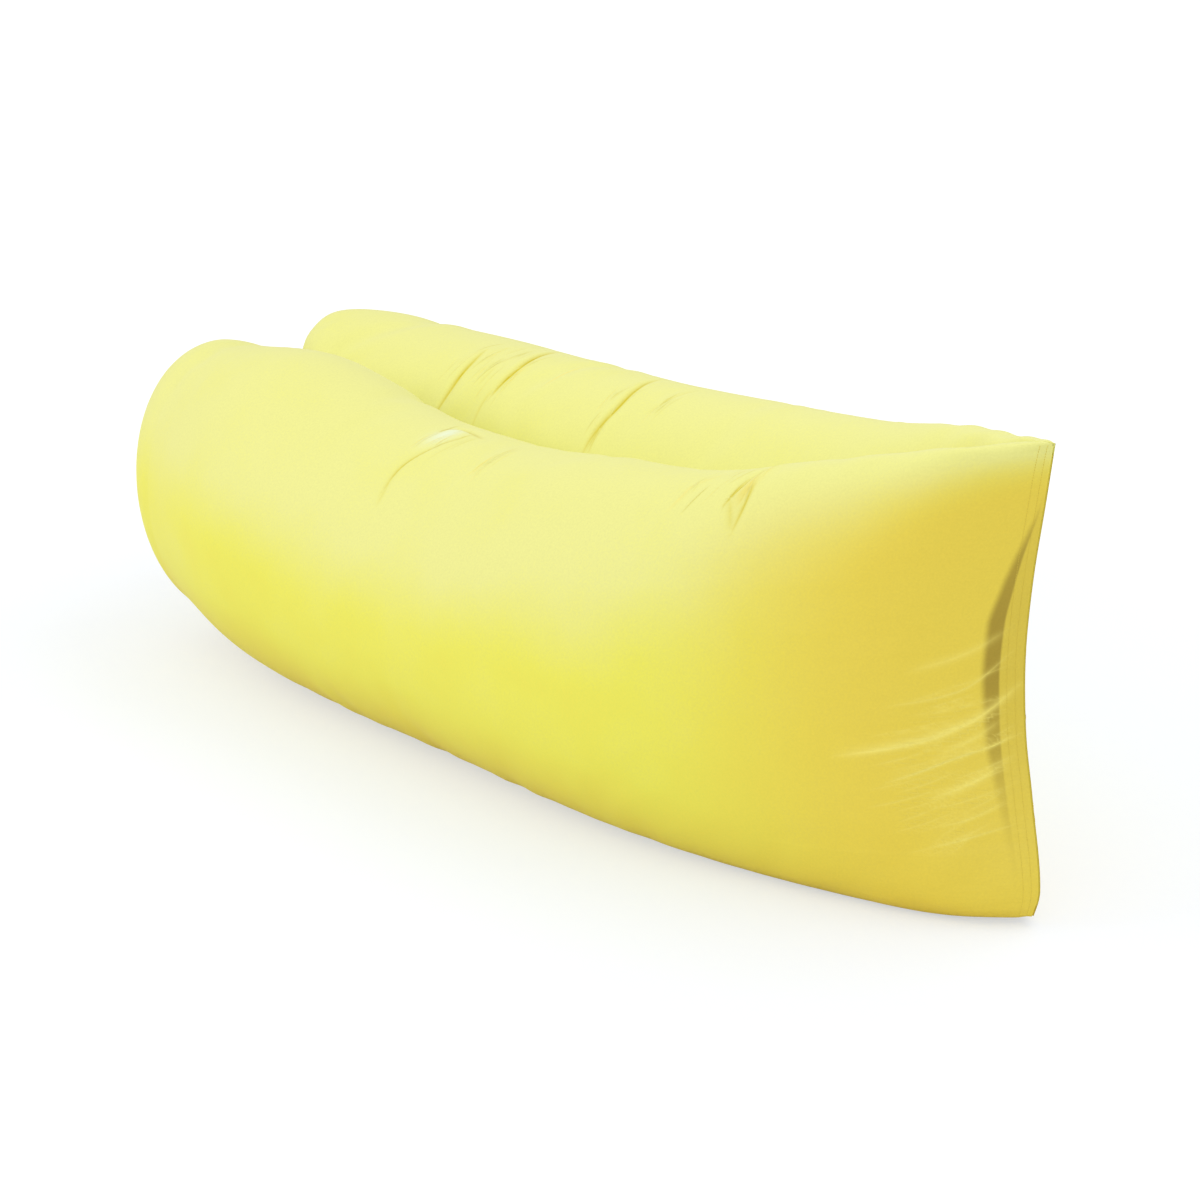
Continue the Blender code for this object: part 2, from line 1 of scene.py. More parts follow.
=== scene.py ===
# Inflatable air lounger, dressed for a studio photograph.
# Two yellow fabric sleeves lie side by side, sewn shut together at the head end (+X). At the foot end (-X)
# their mouths are gathered, rolled up and held in a loop by a side-release buckle.
import math

import bpy
import numpy as np
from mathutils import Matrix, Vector


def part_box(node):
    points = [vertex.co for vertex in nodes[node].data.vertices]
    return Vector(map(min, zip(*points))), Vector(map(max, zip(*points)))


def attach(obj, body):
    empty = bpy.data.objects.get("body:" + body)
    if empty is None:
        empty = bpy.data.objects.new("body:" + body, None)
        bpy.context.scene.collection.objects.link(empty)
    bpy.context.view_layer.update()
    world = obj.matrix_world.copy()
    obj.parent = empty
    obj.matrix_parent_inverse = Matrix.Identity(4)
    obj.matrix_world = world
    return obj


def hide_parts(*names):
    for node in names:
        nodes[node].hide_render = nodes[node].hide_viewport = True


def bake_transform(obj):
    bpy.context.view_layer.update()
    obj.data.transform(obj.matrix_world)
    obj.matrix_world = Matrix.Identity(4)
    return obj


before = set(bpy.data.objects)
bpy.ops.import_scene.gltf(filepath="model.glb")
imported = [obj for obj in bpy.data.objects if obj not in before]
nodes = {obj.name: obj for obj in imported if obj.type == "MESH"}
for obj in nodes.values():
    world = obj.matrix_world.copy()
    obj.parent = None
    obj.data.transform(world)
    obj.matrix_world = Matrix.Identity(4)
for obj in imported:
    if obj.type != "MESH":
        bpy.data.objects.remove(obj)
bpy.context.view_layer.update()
bpy.ops.object.select_all(action="DESELECT")
print("frame loaded:", len(nodes), "nodes")

mm = 0.001


def linear(hexColour):  # a colour as a paint program writes it, as the shader wants it
    parts = [int(hexColour[i : i + 2], 16) / 255 for i in (1, 3, 5)]
    return tuple([c / 12.92 if c <= 0.04045 else ((c + 0.055) / 1.055) ** 2.4 for c in parts] + [1.0])


def addNode(owner, kind, settings=None):  # a setting that is a node or a socket becomes a link
    node = owner.node_tree.nodes.new("ShaderNode" + kind)
    for key, value in (settings or {}).items():
        value = value.outputs[0] if isinstance(value, bpy.types.Node) else value
        if isinstance(value, bpy.types.NodeSocket):
            owner.node_tree.links.new(value, node.inputs[key])
        elif hasattr(node, str(key)):
            setattr(node, key, value)
        else:
            node.inputs[key].default_value = value
    return node


def newMaterial(name, settings):
    material = bpy.data.materials.new(name)
    material.use_nodes = True
    material.node_tree.nodes.clear()
    shader = addNode(material, "BsdfPrincipled", settings)
    addNode(material, "OutputMaterial", {"Surface": shader})
    return material, shader


def feed(material, shader, key, source):
    source = source.outputs[0] if isinstance(source, bpy.types.Node) else source
    material.node_tree.links.new(source, shader.inputs[key])


def dress(obj, material):
    obj.data.materials.clear()
    obj.data.materials.append(material)


# Camera, at the photograph's place
cameraPlace = {"azimuth": 52.286, "elevation": 16.884, "distance": 4.132, "lens": 79.602, "sensor": 36}
cameraTarget = Vector((0.1400, -0.0362, 0.2453))
azimuth = math.radians(cameraPlace["azimuth"])
elevation = math.radians(cameraPlace["elevation"])
back = Vector((
    math.sin(azimuth) * math.cos(elevation), -math.cos(azimuth) * math.cos(elevation), math.sin(elevation)
))
bpy.ops.object.camera_add(location=cameraTarget + back * cameraPlace["distance"])
camera = bpy.context.object
camera.rotation_mode = "QUATERNION"
camera.rotation_quaternion = back.to_track_quat("Z", "Y")
camera.data.lens = cameraPlace["lens"]
camera.data.sensor_width = cameraPlace["sensor"]
camera.data.clip_end = 100
bpy.context.scene.camera = camera
bpy.context.scene.view_settings.view_transform = "Standard"
print("camera placed")

# Sleeves. A place is a share of the run from the cleft between the lobes to the head seam, and a turn goes
# from the crest over the outer side and the underside to the wall between the two sleeves.
sleeve = {
    "run": 1.74,
    "headHeight": 0.66,
    "tubeWidth": 0.42,
    "girth": 1.41,
    "wallGap": 1.5 * mm,
    "foldRadius": 14 * mm,  # of the soft fold where the fabric meets the other sleeve
    "floorRadius": 7 * mm,  # of the soft fold where it meets the floor
    "seamThickness": 12 * mm,
    "seamSag": 33 * mm,
    "seamRun": 60 * mm,
    "stations": (0.0, 0.15, 0.30, 0.45, 0.58, 0.72, 0.85, 0.94, 1.0),
    "nearCrest": (0.80, 0.838, 0.765, 0.755, 0.79, 0.83, 0.918, 0.975, 1.0),
    "farCrest": (0.804, 0.807, 0.816, 0.824, 0.842, 0.876, 0.942, 0.98, 1.0),
    "underside": (0.078, 0.018, -0.007, -0.007, -0.007, -0.007, -0.005, 0.004, 0.018),
    "nearWidth": (0.864, 0.995, 0.967, 0.936, 0.914, 0.817, 0.60, 0.355, 0.03),
    "farWidth": (0.87, 0.995, 0.967, 0.936, 0.90, 0.765, 0.465, 0.19, 0.03),
    "crestLine": (0.53, 0.46, 0.42, 0.41, 0.44, 0.47, 0.50, 0.51, 0.53),
    "press": (1.12, 1.14, 1.16, 1.17, 1.19, 1.20, 1.21, 1.21, 1.0),
    "seamHeights": (0.0, 0.08, 0.27, 0.40, 0.56, 0.72, 0.88, 1.0),
    "seamDraw": (0.0, -0.4, 0.27, 0.78, 1.0, 0.79, 0.33, 0.0),
    "drawStart": 0.6,
    "bluntStart": 0.9,
    "blunt": 0.4,
    "nearReach": 0.929,
    "farReach": 1.326,
    "nose": 0.055,
    "nearLean": -0.152,
    "farLean": -0.182,
    "neckLean": -0.17,
    "nearLift": 0.039,
    "farLift": 0.10,
    "cleftHalf": 14 * mm,
    "neckHeight": 0.285,
    "neckHalf": 0.10,
    "mouthHalf": 0.115,
    "neckThickness": 8 * mm,
    "neckReach": 0.10,
    "neckFold": 3 * mm,
    "neckBlunt": 0.35,
}
loop = {"halfDepth": 0.11, "halfHeight": 0.16, "rollThickness": 13 * mm, "seat": 0.9 * mm}
loopX = -sleeve["neckReach"] - loop["rollThickness"] - loop["halfDepth"]
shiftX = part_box("buckle_socket")[0].x + 5.5 * mm - (loopX - loop["halfDepth"])  # from the cleft to the origin


def smooth(shares, values, place):  # a soft curve through a table's points
    shares, values, place = np.asarray(shares), np.asarray(values), np.asarray(place, float)
    i = np.clip(np.searchsorted(shares, place) - 1, 0, len(shares) - 2)
    span = shares[i + 1] - shares[i]
    t = (place - shares[i]) / span
    low, high = np.clip(i - 1, 0, None), np.clip(i + 2, None, len(shares) - 1)
    start = (values[i + 1] - values[low]) / (shares[i + 1] - shares[low]) * span
    end = (values[high] - values[i]) / (shares[high] - shares[i]) * span
    rise = values[i + 1] - values[i]
    return values[i] + start * t + (3 * rise - 2 * start - end) * t**2 + (start + end - 2 * rise) * t**3


def softMax(a, b, radius):
    return (a + b + np.sqrt((a - b) ** 2 + radius**2)) / 2


def power(value, share):
    return np.sign(value) * np.abs(value) ** share


def sectionSizes(side, place):
    tables = (side + "Crest", "underside", side + "Width", "crestLine", "press")
    crest, under, width, line, press = [smooth(sleeve["stations"], sleeve[key], place) for key in tables]
    width = np.maximum(sleeve["tubeWidth"] * width, sleeve["seamThickness"])
    return sleeve["headHeight"] * crest, sleeve["headHeight"] * under, width, width * line, press


def reachOut(turn, width, line, press, blunt, fold):
    bulge = power(np.sin(turn), blunt)
    out = np.where(bulge > 0, line + (width - line) * bulge, line + line * press * bulge)
    return softMax(out, sleeve["wallGap"], fold)


def seamDraw(height):
    share = np.clip(height / sleeve["headHeight"], 0, 1)
    return sleeve["seamSag"] * smooth(sleeve["seamHeights"], sleeve["seamDraw"], share)


def bodyPoints(side, place, turn):
    crest, under, width, line, press = sectionSizes(side, place)
    ending = np.clip((place - sleeve["bluntStart"]) / (1 - sleeve["bluntStart"]), 0, None)
    fold = sleeve["foldRadius"] * (1 - ending) ** 2
    out = reachOut(turn, width, line, press, 1 + (sleeve["blunt"] - 1) * ending, fold)
    height = (crest + under) / 2 + (crest - under) / 2 * np.cos(turn)
    draw = np.clip((place - sleeve["drawStart"]) / (1 - sleeve["drawStart"]), 0, None) ** 2
    x = sleeve["run"] * place - seamDraw(height) * draw
    height = softMax(height, 0, sleeve["floorRadius"]) - sleeve["floorRadius"] * 0.02
    return np.stack([x, out, np.maximum(height, 0)], -1)


def lobePoints(side, angle, turn):  # the section turned about the upright line at the bottom of the cleft
    crest, under, width, line, press = sectionSizes(side, 0.0)
    openShare, shutShare = np.cos(angle), np.sin(angle)
    half = (crest - under) / 2 * openShare + sleeve["neckHalf"] * (1 - openShare)
    middle = (crest + under) / 2 * openShare + sleeve["neckHeight"] * (1 - openShare)
    middle = middle + sleeve[side + "Lift"] * shutShare**2 * openShare
    out = reachOut(turn, width * openShare, line * openShare, press, 1, sleeve["foldRadius"] * openShare)
    outerShare = (1 + np.sin(turn)) / 2
    height = middle + half * np.cos(turn)
    x = -sleeve[side + "Reach"] * out * shutShare + sleeve[side + "Lean"] * (height - middle) * shutShare
    cleft = sleeve["cleftHalf"] * outerShare + sleeve["wallGap"] * (1 - outerShare)
    y = out * openShare * (1 - sleeve["nose"] * shutShare) + cleft * shutShare
    return np.stack([x, y, height], -1)


def rollFaceX(height):
    rise = (height - sleeve["neckHeight"]) / (loop["halfHeight"] + loop["rollThickness"])
    return loopX + (loop["halfDepth"] + loop["rollThickness"]) * np.sqrt(1 - rise**2) + loop["seat"]


def neckPoints(share, turn):  # from the roll, share 0, to the bottom of the cleft, share 1
    half = sleeve["mouthHalf"] + (sleeve["neckHalf"] - sleeve["mouthHalf"]) * np.sqrt(share)
    outer = sleeve["wallGap"] + sleeve["neckThickness"] + share * 0
    middle = (sleeve["wallGap"] + outer) / 2
    out = middle + (outer - sleeve["wallGap"]) / 2 * power(np.sin(turn), sleeve["neckBlunt"])
    height = sleeve["neckHeight"] + half * np.cos(turn)
    lean = sleeve["neckLean"] * (height - sleeve["neckHeight"]) * share
    x = rollFaceX(height) * (1 - share) + sleeve["neckFold"] * share + lean
    return np.stack([x, out, height], -1)


# Buckles in the filled fabric: the depth and the width in millimetres, and a path of (place, turn in degrees)
creases = {
    "near": [
        (7, 6, ((0.3908, 43), (0.388, 36), (0.387, 31), (0.3904, 25), (0.395, 19), (0.398, 13), (0.404, 7))),
        (6, 6, ((0.3735, 9), (0.3685, 3.5), (0.380, 0), (0.395, 0), (0.420, 3))),
        (10, 7, ((0.7872, 30), (0.7876, 24), (0.7888, 18), (0.790, 10), (0.7945, 4),
            (0.803, -7), (0.808, -14))),
        (6, 6, ((0.8068, 43), (0.806, 35), (0.804, 28), (0.800, 19))),
        (2.5, 5, ((0.7868, 26), (0.7964, 34), (0.8050, 42))),
        (2, 5, ((0.3885, 36), (0.3925, 42), (0.396, 49))),
    ],
    "far": [
        (7, 6, ((0.1795, 305), (0.1805, 313), (0.178, 324), (0.1748, 332), (0.1735, 339), (0.168, 348))),
        (8, 6, ((0.246, 322), (0.246, 331), (0.2458, 337), (0.244, 344), (0.240, 352),
            (0.236, 360), (0.231, 369))),
        (2.5, 5, ((0.246, 306), (0.2425, 313), (0.2395, 321), (0.243, 328))),
        (8, 6, ((0.418, 309), (0.4185, 317), (0.4205, 323), (0.423, 330), (0.4235, 338),
            (0.418, 349), (0.408, 367))),
        (3.5, 4, ((0.4255, 311), (0.4225, 318), (0.424, 326))),
        (1.5, 5, ((0.217, 326), (0.2155, 339))),
        (1.5, 5, ((0.466, 334), (0.474, 350), (0.480, 362))),
    ],
}
# Fine pulls in the fabric, most of them out from the middle of the head seam: height, width and path
pulls = {
    "near": [
        (1.4, 4, ((0.7364, 31), (0.7386, 25), (0.7370, 18), (0.7442, 12), (0.751, 7))),
        (1.2, 3.5, ((0.485, 30), (0.4816, 22), (0.4825, 15), (0.478, 7))),
        (1.0, 3, ((0.4775, 26), (0.474, 19), (0.4725, 13))),
        (1.6, 4, ((0.803, 31), (0.797, 17), (0.799, 7), (0.806, -2))),
        (2.4, 4.5, ((0.998, 91), (0.984, 97), (0.970, 100), (0.956, 102), (0.926, 104), (0.905, 105))),
        (2.0, 4, ((0.997, 103), (0.986, 105), (0.969, 107), (0.951, 110), (0.935, 112))),
        (1.4, 4, ((0.992, 109), (0.976, 114), (0.955, 117))),
        (1.2, 4, ((0.994, 83), (0.979, 90), (0.963, 92), (0.940, 93))),
        (0.9, 4, ((0.992, 77), (0.977, 82), (0.950, 85))),
        (1.3, 4, ((0.992, 126), (0.976, 128), (0.955, 131))),
        (1.0, 3.5, ((0.990, 99), (0.978, 103), (0.962, 106))),
        (1.0, 4, ((0.990, 119), (0.975, 123), (0.958, 125))),
    ],
    "far": [
        (1.0, 3.5, ((0.308, 336), (0.3105, 346), (0.3103, 358))),
        (1.2, 3.5, ((0.256, 330), (0.255, 342), (0.251, 353))),
        (2.0, 4.5, ((0.998, 84), (0.980, 86), (0.960, 90), (0.930, 92))),
        (1.8, 4, ((0.997, 99), (0.984, 101), (0.960, 106))),
        (1.3, 4, ((0.992, 113), (0.972, 117), (0.950, 119))),
        (1.1, 4, ((0.992, 71), (0.975, 75), (0.950, 76))),
        (1.2, 4, ((0.992, 127), (0.974, 130))),
    ],
}
relief = {
    "finePulls": 44,  # hair-thin wrinkles that fan out from the head seam, between two turns
    "fanTurns": (84, 130),
    "fanMiddle": 96,
    "puff": 0.42,  # how far the fabric swells beside a buckle, as a share of its depth
    "reach": 0.11,  # how far a fold is felt
    "blunt": 4 * mm,  # of a groove's bottom
    "puffWidth": 2.9,
    "fineTurns": {"near": ((-8, 45), (76, 132)), "far": ((305, 370), (76, 130))},
    "fineRuns": {
        "near": ((0.364, 0.420), (0.470, 0.490), (0.732, 0.812), (0.925, 1.0)),
        "far": ((0.150, 0.265), (0.304, 0.314), (0.400, 0.432), (0.462, 0.484), (0.925, 1.0)),
    },
    "fineGap": 3.0 * mm,
    "wideGap": 8.5 * mm,
    "wideRows": 10.5 * mm,
    # hair-thin wrinkles round the sleeve: between two places, between two turns, and how many
    "arcs": {
        "near": ((0.366, 0.418, -4, 34, 9), (0.471, 0.489, 2, 30, 5), (0.734, 0.81, 0, 34, 12)),
        "far": ((0.152, 0.263, 318, 364, 30), (0.402, 0.430, 312, 362, 8), (0.464, 0.482, 330, 362, 5)),
    },
    "lap": 0.5,  # how much higher the cloth stands on one side of a buckle than on the other
    "swell": 1.6 * mm,  # slow unevenness of the filled fabric
    "hoops": 46,  # faint round creases on each sleeve
    "hoopDepth": 1.1 * mm,
    "hoopWidth": 5 * mm,
    "pleats": 17,  # gathered folds that run from the neck over the lobes
    "pleatDepth": 7 * mm,
    "neckPleat": 2.2 * mm,
    "seamPuckers": 62,
    "puckerDepth": 0.8 * mm,
    "puckerReach": 35 * mm,
    "floorHold": 30 * mm,  # the relief fades out this near the floor, the other sleeve and the head seam
    "wallHold": 20 * mm,
    "seamHold": 12 * mm,
}


def softened(points):  # a path's corners cut three times over, so that it bends smoothly
    for _ in range(3):
        cut = [points[0]]
        for a, b in zip(points, points[1:]):
            cut += [a * 0.75 + b * 0.25, a * 0.25 + b * 0.75]
        points = cut + [points[-1]]
    return np.array(points)


def alongPath(path, place, turn):  # the distance from a fold's path, the side of it, and how far along it
    radius = sleeve["girth"] / (2 * math.pi)
    points = softened([np.array([p * sleeve["run"], math.radians(t) * radius]) for p, t in path])
    lengths = np.linalg.norm(np.diff(points, axis=0), axis=1)
    starts = np.concatenate([[0], np.cumsum(lengths)])
    (lowX, lowY), (highX, highY) = points.min(0) - relief["reach"], points.max(0) + relief["reach"]
    found = [np.full(place.shape, 9.0), np.zeros(place.shape), np.zeros(place.shape)]
    for lap in (0, -2 * math.pi, 2 * math.pi):
        x, y = place * sleeve["run"], (turn + lap) * radius
        near = (x > lowX) & (x < highX) & (y > lowY) & (y < highY)
        x, y, nearest = x[near], y[near], [values[near] for values in found]
        for i in range(len(lengths) if near.any() else 0):
            ax, ay = points[i]
            bx, by = (points[i + 1] - points[i]) / lengths[i]
            t = np.clip((x - ax) * bx + (y - ay) * by, 0, lengths[i])
            dx, dy = x - ax - bx * t, y - ay - by * t
            here = (np.hypot(dx, dy), np.sign(bx * dy - by * dx), (starts[i] + t) / starts[-1])
            closer = here[0] < nearest[0]
            nearest = [np.where(closer, new, old) for new, old in zip(here, nearest)]
        for values, new in zip(found, nearest):
            values[near] = new
    return found


def creaseRelief(side, place, turn):
    total = np.zeros(place.shape)
    for depth, width, path in creases[side]:
        distance, hand, share = alongPath(path, place, turn)
        taper = np.clip(np.sin(np.pi * share), 0, 1) ** 0.7
        groove = np.exp((relief["blunt"] - np.hypot(distance, relief["blunt"])) / (width * mm))
        puff = np.exp(-((distance / (width * mm * relief["puffWidth"])) ** 2))
        lap = 1 + relief["lap"] * hand * np.clip(distance / (width * mm), 0, 1)
        total += depth * mm * taper * (relief["puff"] * puff * lap - groove)
    for height, width, path in pulls[side]:
        distance, hand, share = alongPath(path, place, turn)
        taper = np.clip(np.sin(np.pi * np.clip(share, 0.03, 1)), 0, 1) ** 0.6
        across = hand * distance / (width * mm)
        total += height * mm * taper * (1 + 0.9 * across) * np.exp(-(across**2))
    return total


def hairs(side):  # thin wrinkles: some fan out from the middle of the head seam, some run round the sleeve
    picks = np.random.RandomState(57 if side == "near" else 58)
    made = []
    lowTurn, highTurn = relief["fanTurns"]
    for _ in range(relief["finePulls"]):
        start = lowTurn + (highTurn - lowTurn) * picks.rand()
        run = 0.012 + 0.035 * picks.rand()
        first = 0.996 - 0.03 * picks.rand()
        fan = (start - relief["fanMiddle"]) * 0.12 + 3
        path = ((first, start), (first - run * 0.5, start + fan * 0.6), (first - run, start + fan))
        made.append((-(0.12 + 0.28 * picks.rand()), path))
    for low, high, lowTurn, highTurn, count in relief["arcs"][side]:
        for _ in range(count):
            place, slant = low + (high - low) * picks.rand(), picks.normal() * 0.003
            span = 9 + 13 * picks.rand()
            start = lowTurn + (highTurn - lowTurn - span) * picks.rand()
            path = ((place, start), (place + slant * 0.2, start + span / 2), (place + slant, start + span))
            made.append(((0.2 + 0.32 * picks.rand()) * (1 if picks.rand() < 0.65 else -1), path))
    return made


# For three sets of folds, the signed distance to the nearest one, in centimetres, and its size, above 0 for
# a groove and below 0 for a ridge
def foldMarks(side, place, turn):
    folds = [(depth / 8, path) for depth, width, path in creases[side]]
    lines = [(-height / 2.4, path) for height, width, path in pulls[side]]
    made = {}
    sets = {"creases": folds + lines[::2], "pulls": lines[1::2], "hairs": hairs(side)}
    for name, few in sets.items():
        felt = 4.5 * mm if name == "hairs" else 6 * mm
        nearest, away, size = np.full(place.shape, 9.0), np.full(place.shape, 9.0), np.zeros(place.shape)
        for strength, path in few:
            distance, hand, share = alongPath(path, place, turn)
            taper = np.clip(np.sin(np.pi * np.clip(share, 0.02, 0.98)), 0, 1) ** 0.6
            closer = distance < nearest
            nearest = np.where(closer, distance, nearest)
            away = np.where(closer, hand * distance * 100, away)
            size = np.where(closer, strength * taper, size)
        made[name] = (np.clip(away, -9, 9), size * np.clip(1.5 - nearest / felt, 0, 1))
    return made


def slowWaves(points, seed, waves=14, longest=0.55, shortest=0.16):
    picks = np.random.RandomState(seed)
    total = np.zeros(points.shape[:-1])
    for _ in range(waves):
        direction = picks.normal(size=3)
        direction /= np.linalg.norm(direction)
        length = shortest + (longest - shortest) * picks.rand()
        phase = points @ direction * 2 * math.pi / length + picks.rand() * 2 * math.pi
        total += length / longest * np.sin(phase)
    return total / math.sqrt(waves)


def hoopRelief(side, place, turn, seed):
    picks = np.random.RandomState(seed)
    total = np.zeros(place.shape)
    radius = sleeve["girth"] / (2 * math.pi)
    for _ in range(relief["hoops"]):
        middle = picks.rand() * 0.86
        turnMiddle = math.radians(picks.normal() * 26 + (12 if side == "near" else -14))
        spread = math.radians(10 + 18 * picks.rand())
        tilt = picks.normal() * 0.12
        depth = relief["hoopDepth"] * (0.3 + 0.7 * picks.rand())
        width = relief["hoopWidth"] * (0.7 + 0.8 * picks.rand())
        away = (turn - turnMiddle + math.pi) % (2 * math.pi) - math.pi
        across = ((place - middle) * sleeve["run"] - tilt * away * radius) / width
        total += depth * (0.35 - across) * np.exp(-(across**2)) * np.exp(-((away / spread) ** 2))
    return total


def unevenSteps(start, end, ranges, wide, blend):  # steps from start to end, fine inside the ranges
    fine = np.linspace(start, end, 6001)
    gap = np.full(fine.shape, wide)
    for low, high in ranges:
        outside = np.maximum(np.maximum(low - fine, fine - high), 0)
        gap = np.minimum(gap, relief["fineGap"] + (wide - relief["fineGap"]) * np.clip(outside / blend, 0, 1))
    steps = np.concatenate([[0], np.cumsum(np.diff(fine) * 2 / (gap[1:] + gap[:-1]))])
    return np.interp(np.linspace(0, steps[-1], int(steps[-1])), steps, fine)


def ringPlaces(side):  # closer together where the fabric is creased and near the head seam
    ranges = [(low * sleeve["run"], high * sleeve["run"]) for low, high in relief["fineRuns"][side]]
    return unevenSteps(0, sleeve["run"], ranges, relief["wideRows"], 0.03) / sleeve["run"]


def ringTurns(side):
    ranges = []
    for low, high in relief["fineTurns"][side]:
        for lap in (-360, 0, 360):
            ranges.append(((low + lap) / 360 * sleeve["girth"], (high + lap) / 360 * sleeve["girth"]))
    return unevenSteps(0, sleeve["girth"], ranges, relief["wideGap"], 0.03) / sleeve["girth"] * 2 * math.pi


def placed(points, hand=1):  # from a sleeve's own places to the frame's
    return points * np.array([1, hand, 1]) + np.array([shiftX, 0, 0])


def lengthsAlong(points):  # a line's length up to each of its points
    return np.concatenate([[0], np.cumsum(np.linalg.norm(np.diff(points, axis=0), axis=1))])


def closeMesh(threshold):  # of the active piece: its seam and poles merged, its faces turned outwards
    bpy.ops.object.mode_set(mode="EDIT")
    bpy.ops.mesh.select_all(action="SELECT")
    bpy.ops.mesh.remove_doubles(threshold=threshold)
    bpy.ops.mesh.normals_make_consistent(inside=False)
    bpy.ops.object.mode_set(mode="OBJECT")


def gridPiece(name, points, along, across):  # cloth through rows of points, mapped by its own lengths
    rows, columns = points.shape[:2]
    bpy.ops.object.select_all(action="DESELECT")
    bpy.ops.mesh.primitive_grid_add(x_subdivisions=columns - 1, y_subdivisions=rows - 1, size=1)
    obj = bpy.context.object
    obj.name = name
    obj.data.vertices.foreach_set("co", points.reshape(-1, 3).astype(np.float32).ravel())
    corners = np.zeros(len(obj.data.loops), np.int64)
    obj.data.loops.foreach_get("vertex_index", corners)
    lengths = np.stack(np.broadcast_arrays(along, across, points[..., 0])[:2], -1)
    obj.data.uv_layers[0].data.foreach_set("uv", lengths.reshape(-1, 2)[corners].astype(np.float32).ravel())
    obj.data.update()
    bpy.ops.object.shade_smooth()
    return obj


def gridNormals(points, wrapped):
    along = np.gradient(points, axis=0)
    if wrapped:
        inner = points[:, :-1]
        across = np.roll(inner, -1, axis=1) - np.roll(inner, 1, axis=1)
        across = np.concatenate([across, across[:, :1]], axis=1)
    else:
        across = np.gradient(points, axis=1)
    normal = np.cross(along, across)
    return normal / np.maximum(np.linalg.norm(normal, axis=-1, keepdims=True), 1e-12)


def addAttribute(obj, name, values):
    attribute = obj.data.attributes.new(name, "FLOAT", "POINT")
    attribute.data.foreach_set("value", np.asarray(values, np.float32).ravel())


def sampleGrid(values, rowAt, columnAt):  # between a grid's own rows and columns
    for axis, at in ((0, rowAt), (1, columnAt)):
        low = np.clip(np.floor(at).astype(int), 0, values.shape[axis] - 2)
        share = (at - low).reshape([-1 if i == axis else 1 for i in range(values.ndim)])
        values = np.take(values, low, axis) * (1 - share) + np.take(values, low + 1, axis) * share
    return values


cloth = {
    "gap": 11 * mm,  # between the simulated points
    "frames": 20,
    "solver": {
        "quality": 5, "mass": 0.1, "tension_stiffness": 15, "compression_stiffness": 15, "shear_stiffness": 5,
        "bending_stiffness": 0.4, "use_pressure": True, "uniform_pressure_force": 4,
        "shrink_min": -0.02,  # the fabric is cut this much larger than the shape it is blown up to
    },
    "held": 25 * mm,  # how far the head seam's hold reaches
    "cap": 6 * mm,
    "wide": 70 * mm,  # swelling wider than this is left to the shape itself
}


def blurred(values, cells):  # along both ways of a sleeve's grid
    for axis, mode in ((0, "edge"), (1, "wrap")):
        for _ in range(2):
            pad = [(cells, cells) if i == axis else (0, 0) for i in (0, 1)]
            summed = np.cumsum(np.pad(values, pad, mode=mode), axis=axis)
            summed = np.concatenate([np.take(summed, [0], axis) * 0, summed], axis)
            high = np.take(summed, range(2 * cells + 1, summed.shape[axis]), axis)
            low = np.take(summed, range(0, summed.shape[axis] - 2 * cells - 1), axis)
            values = (high - low) / (2 * cells + 1)
    return values


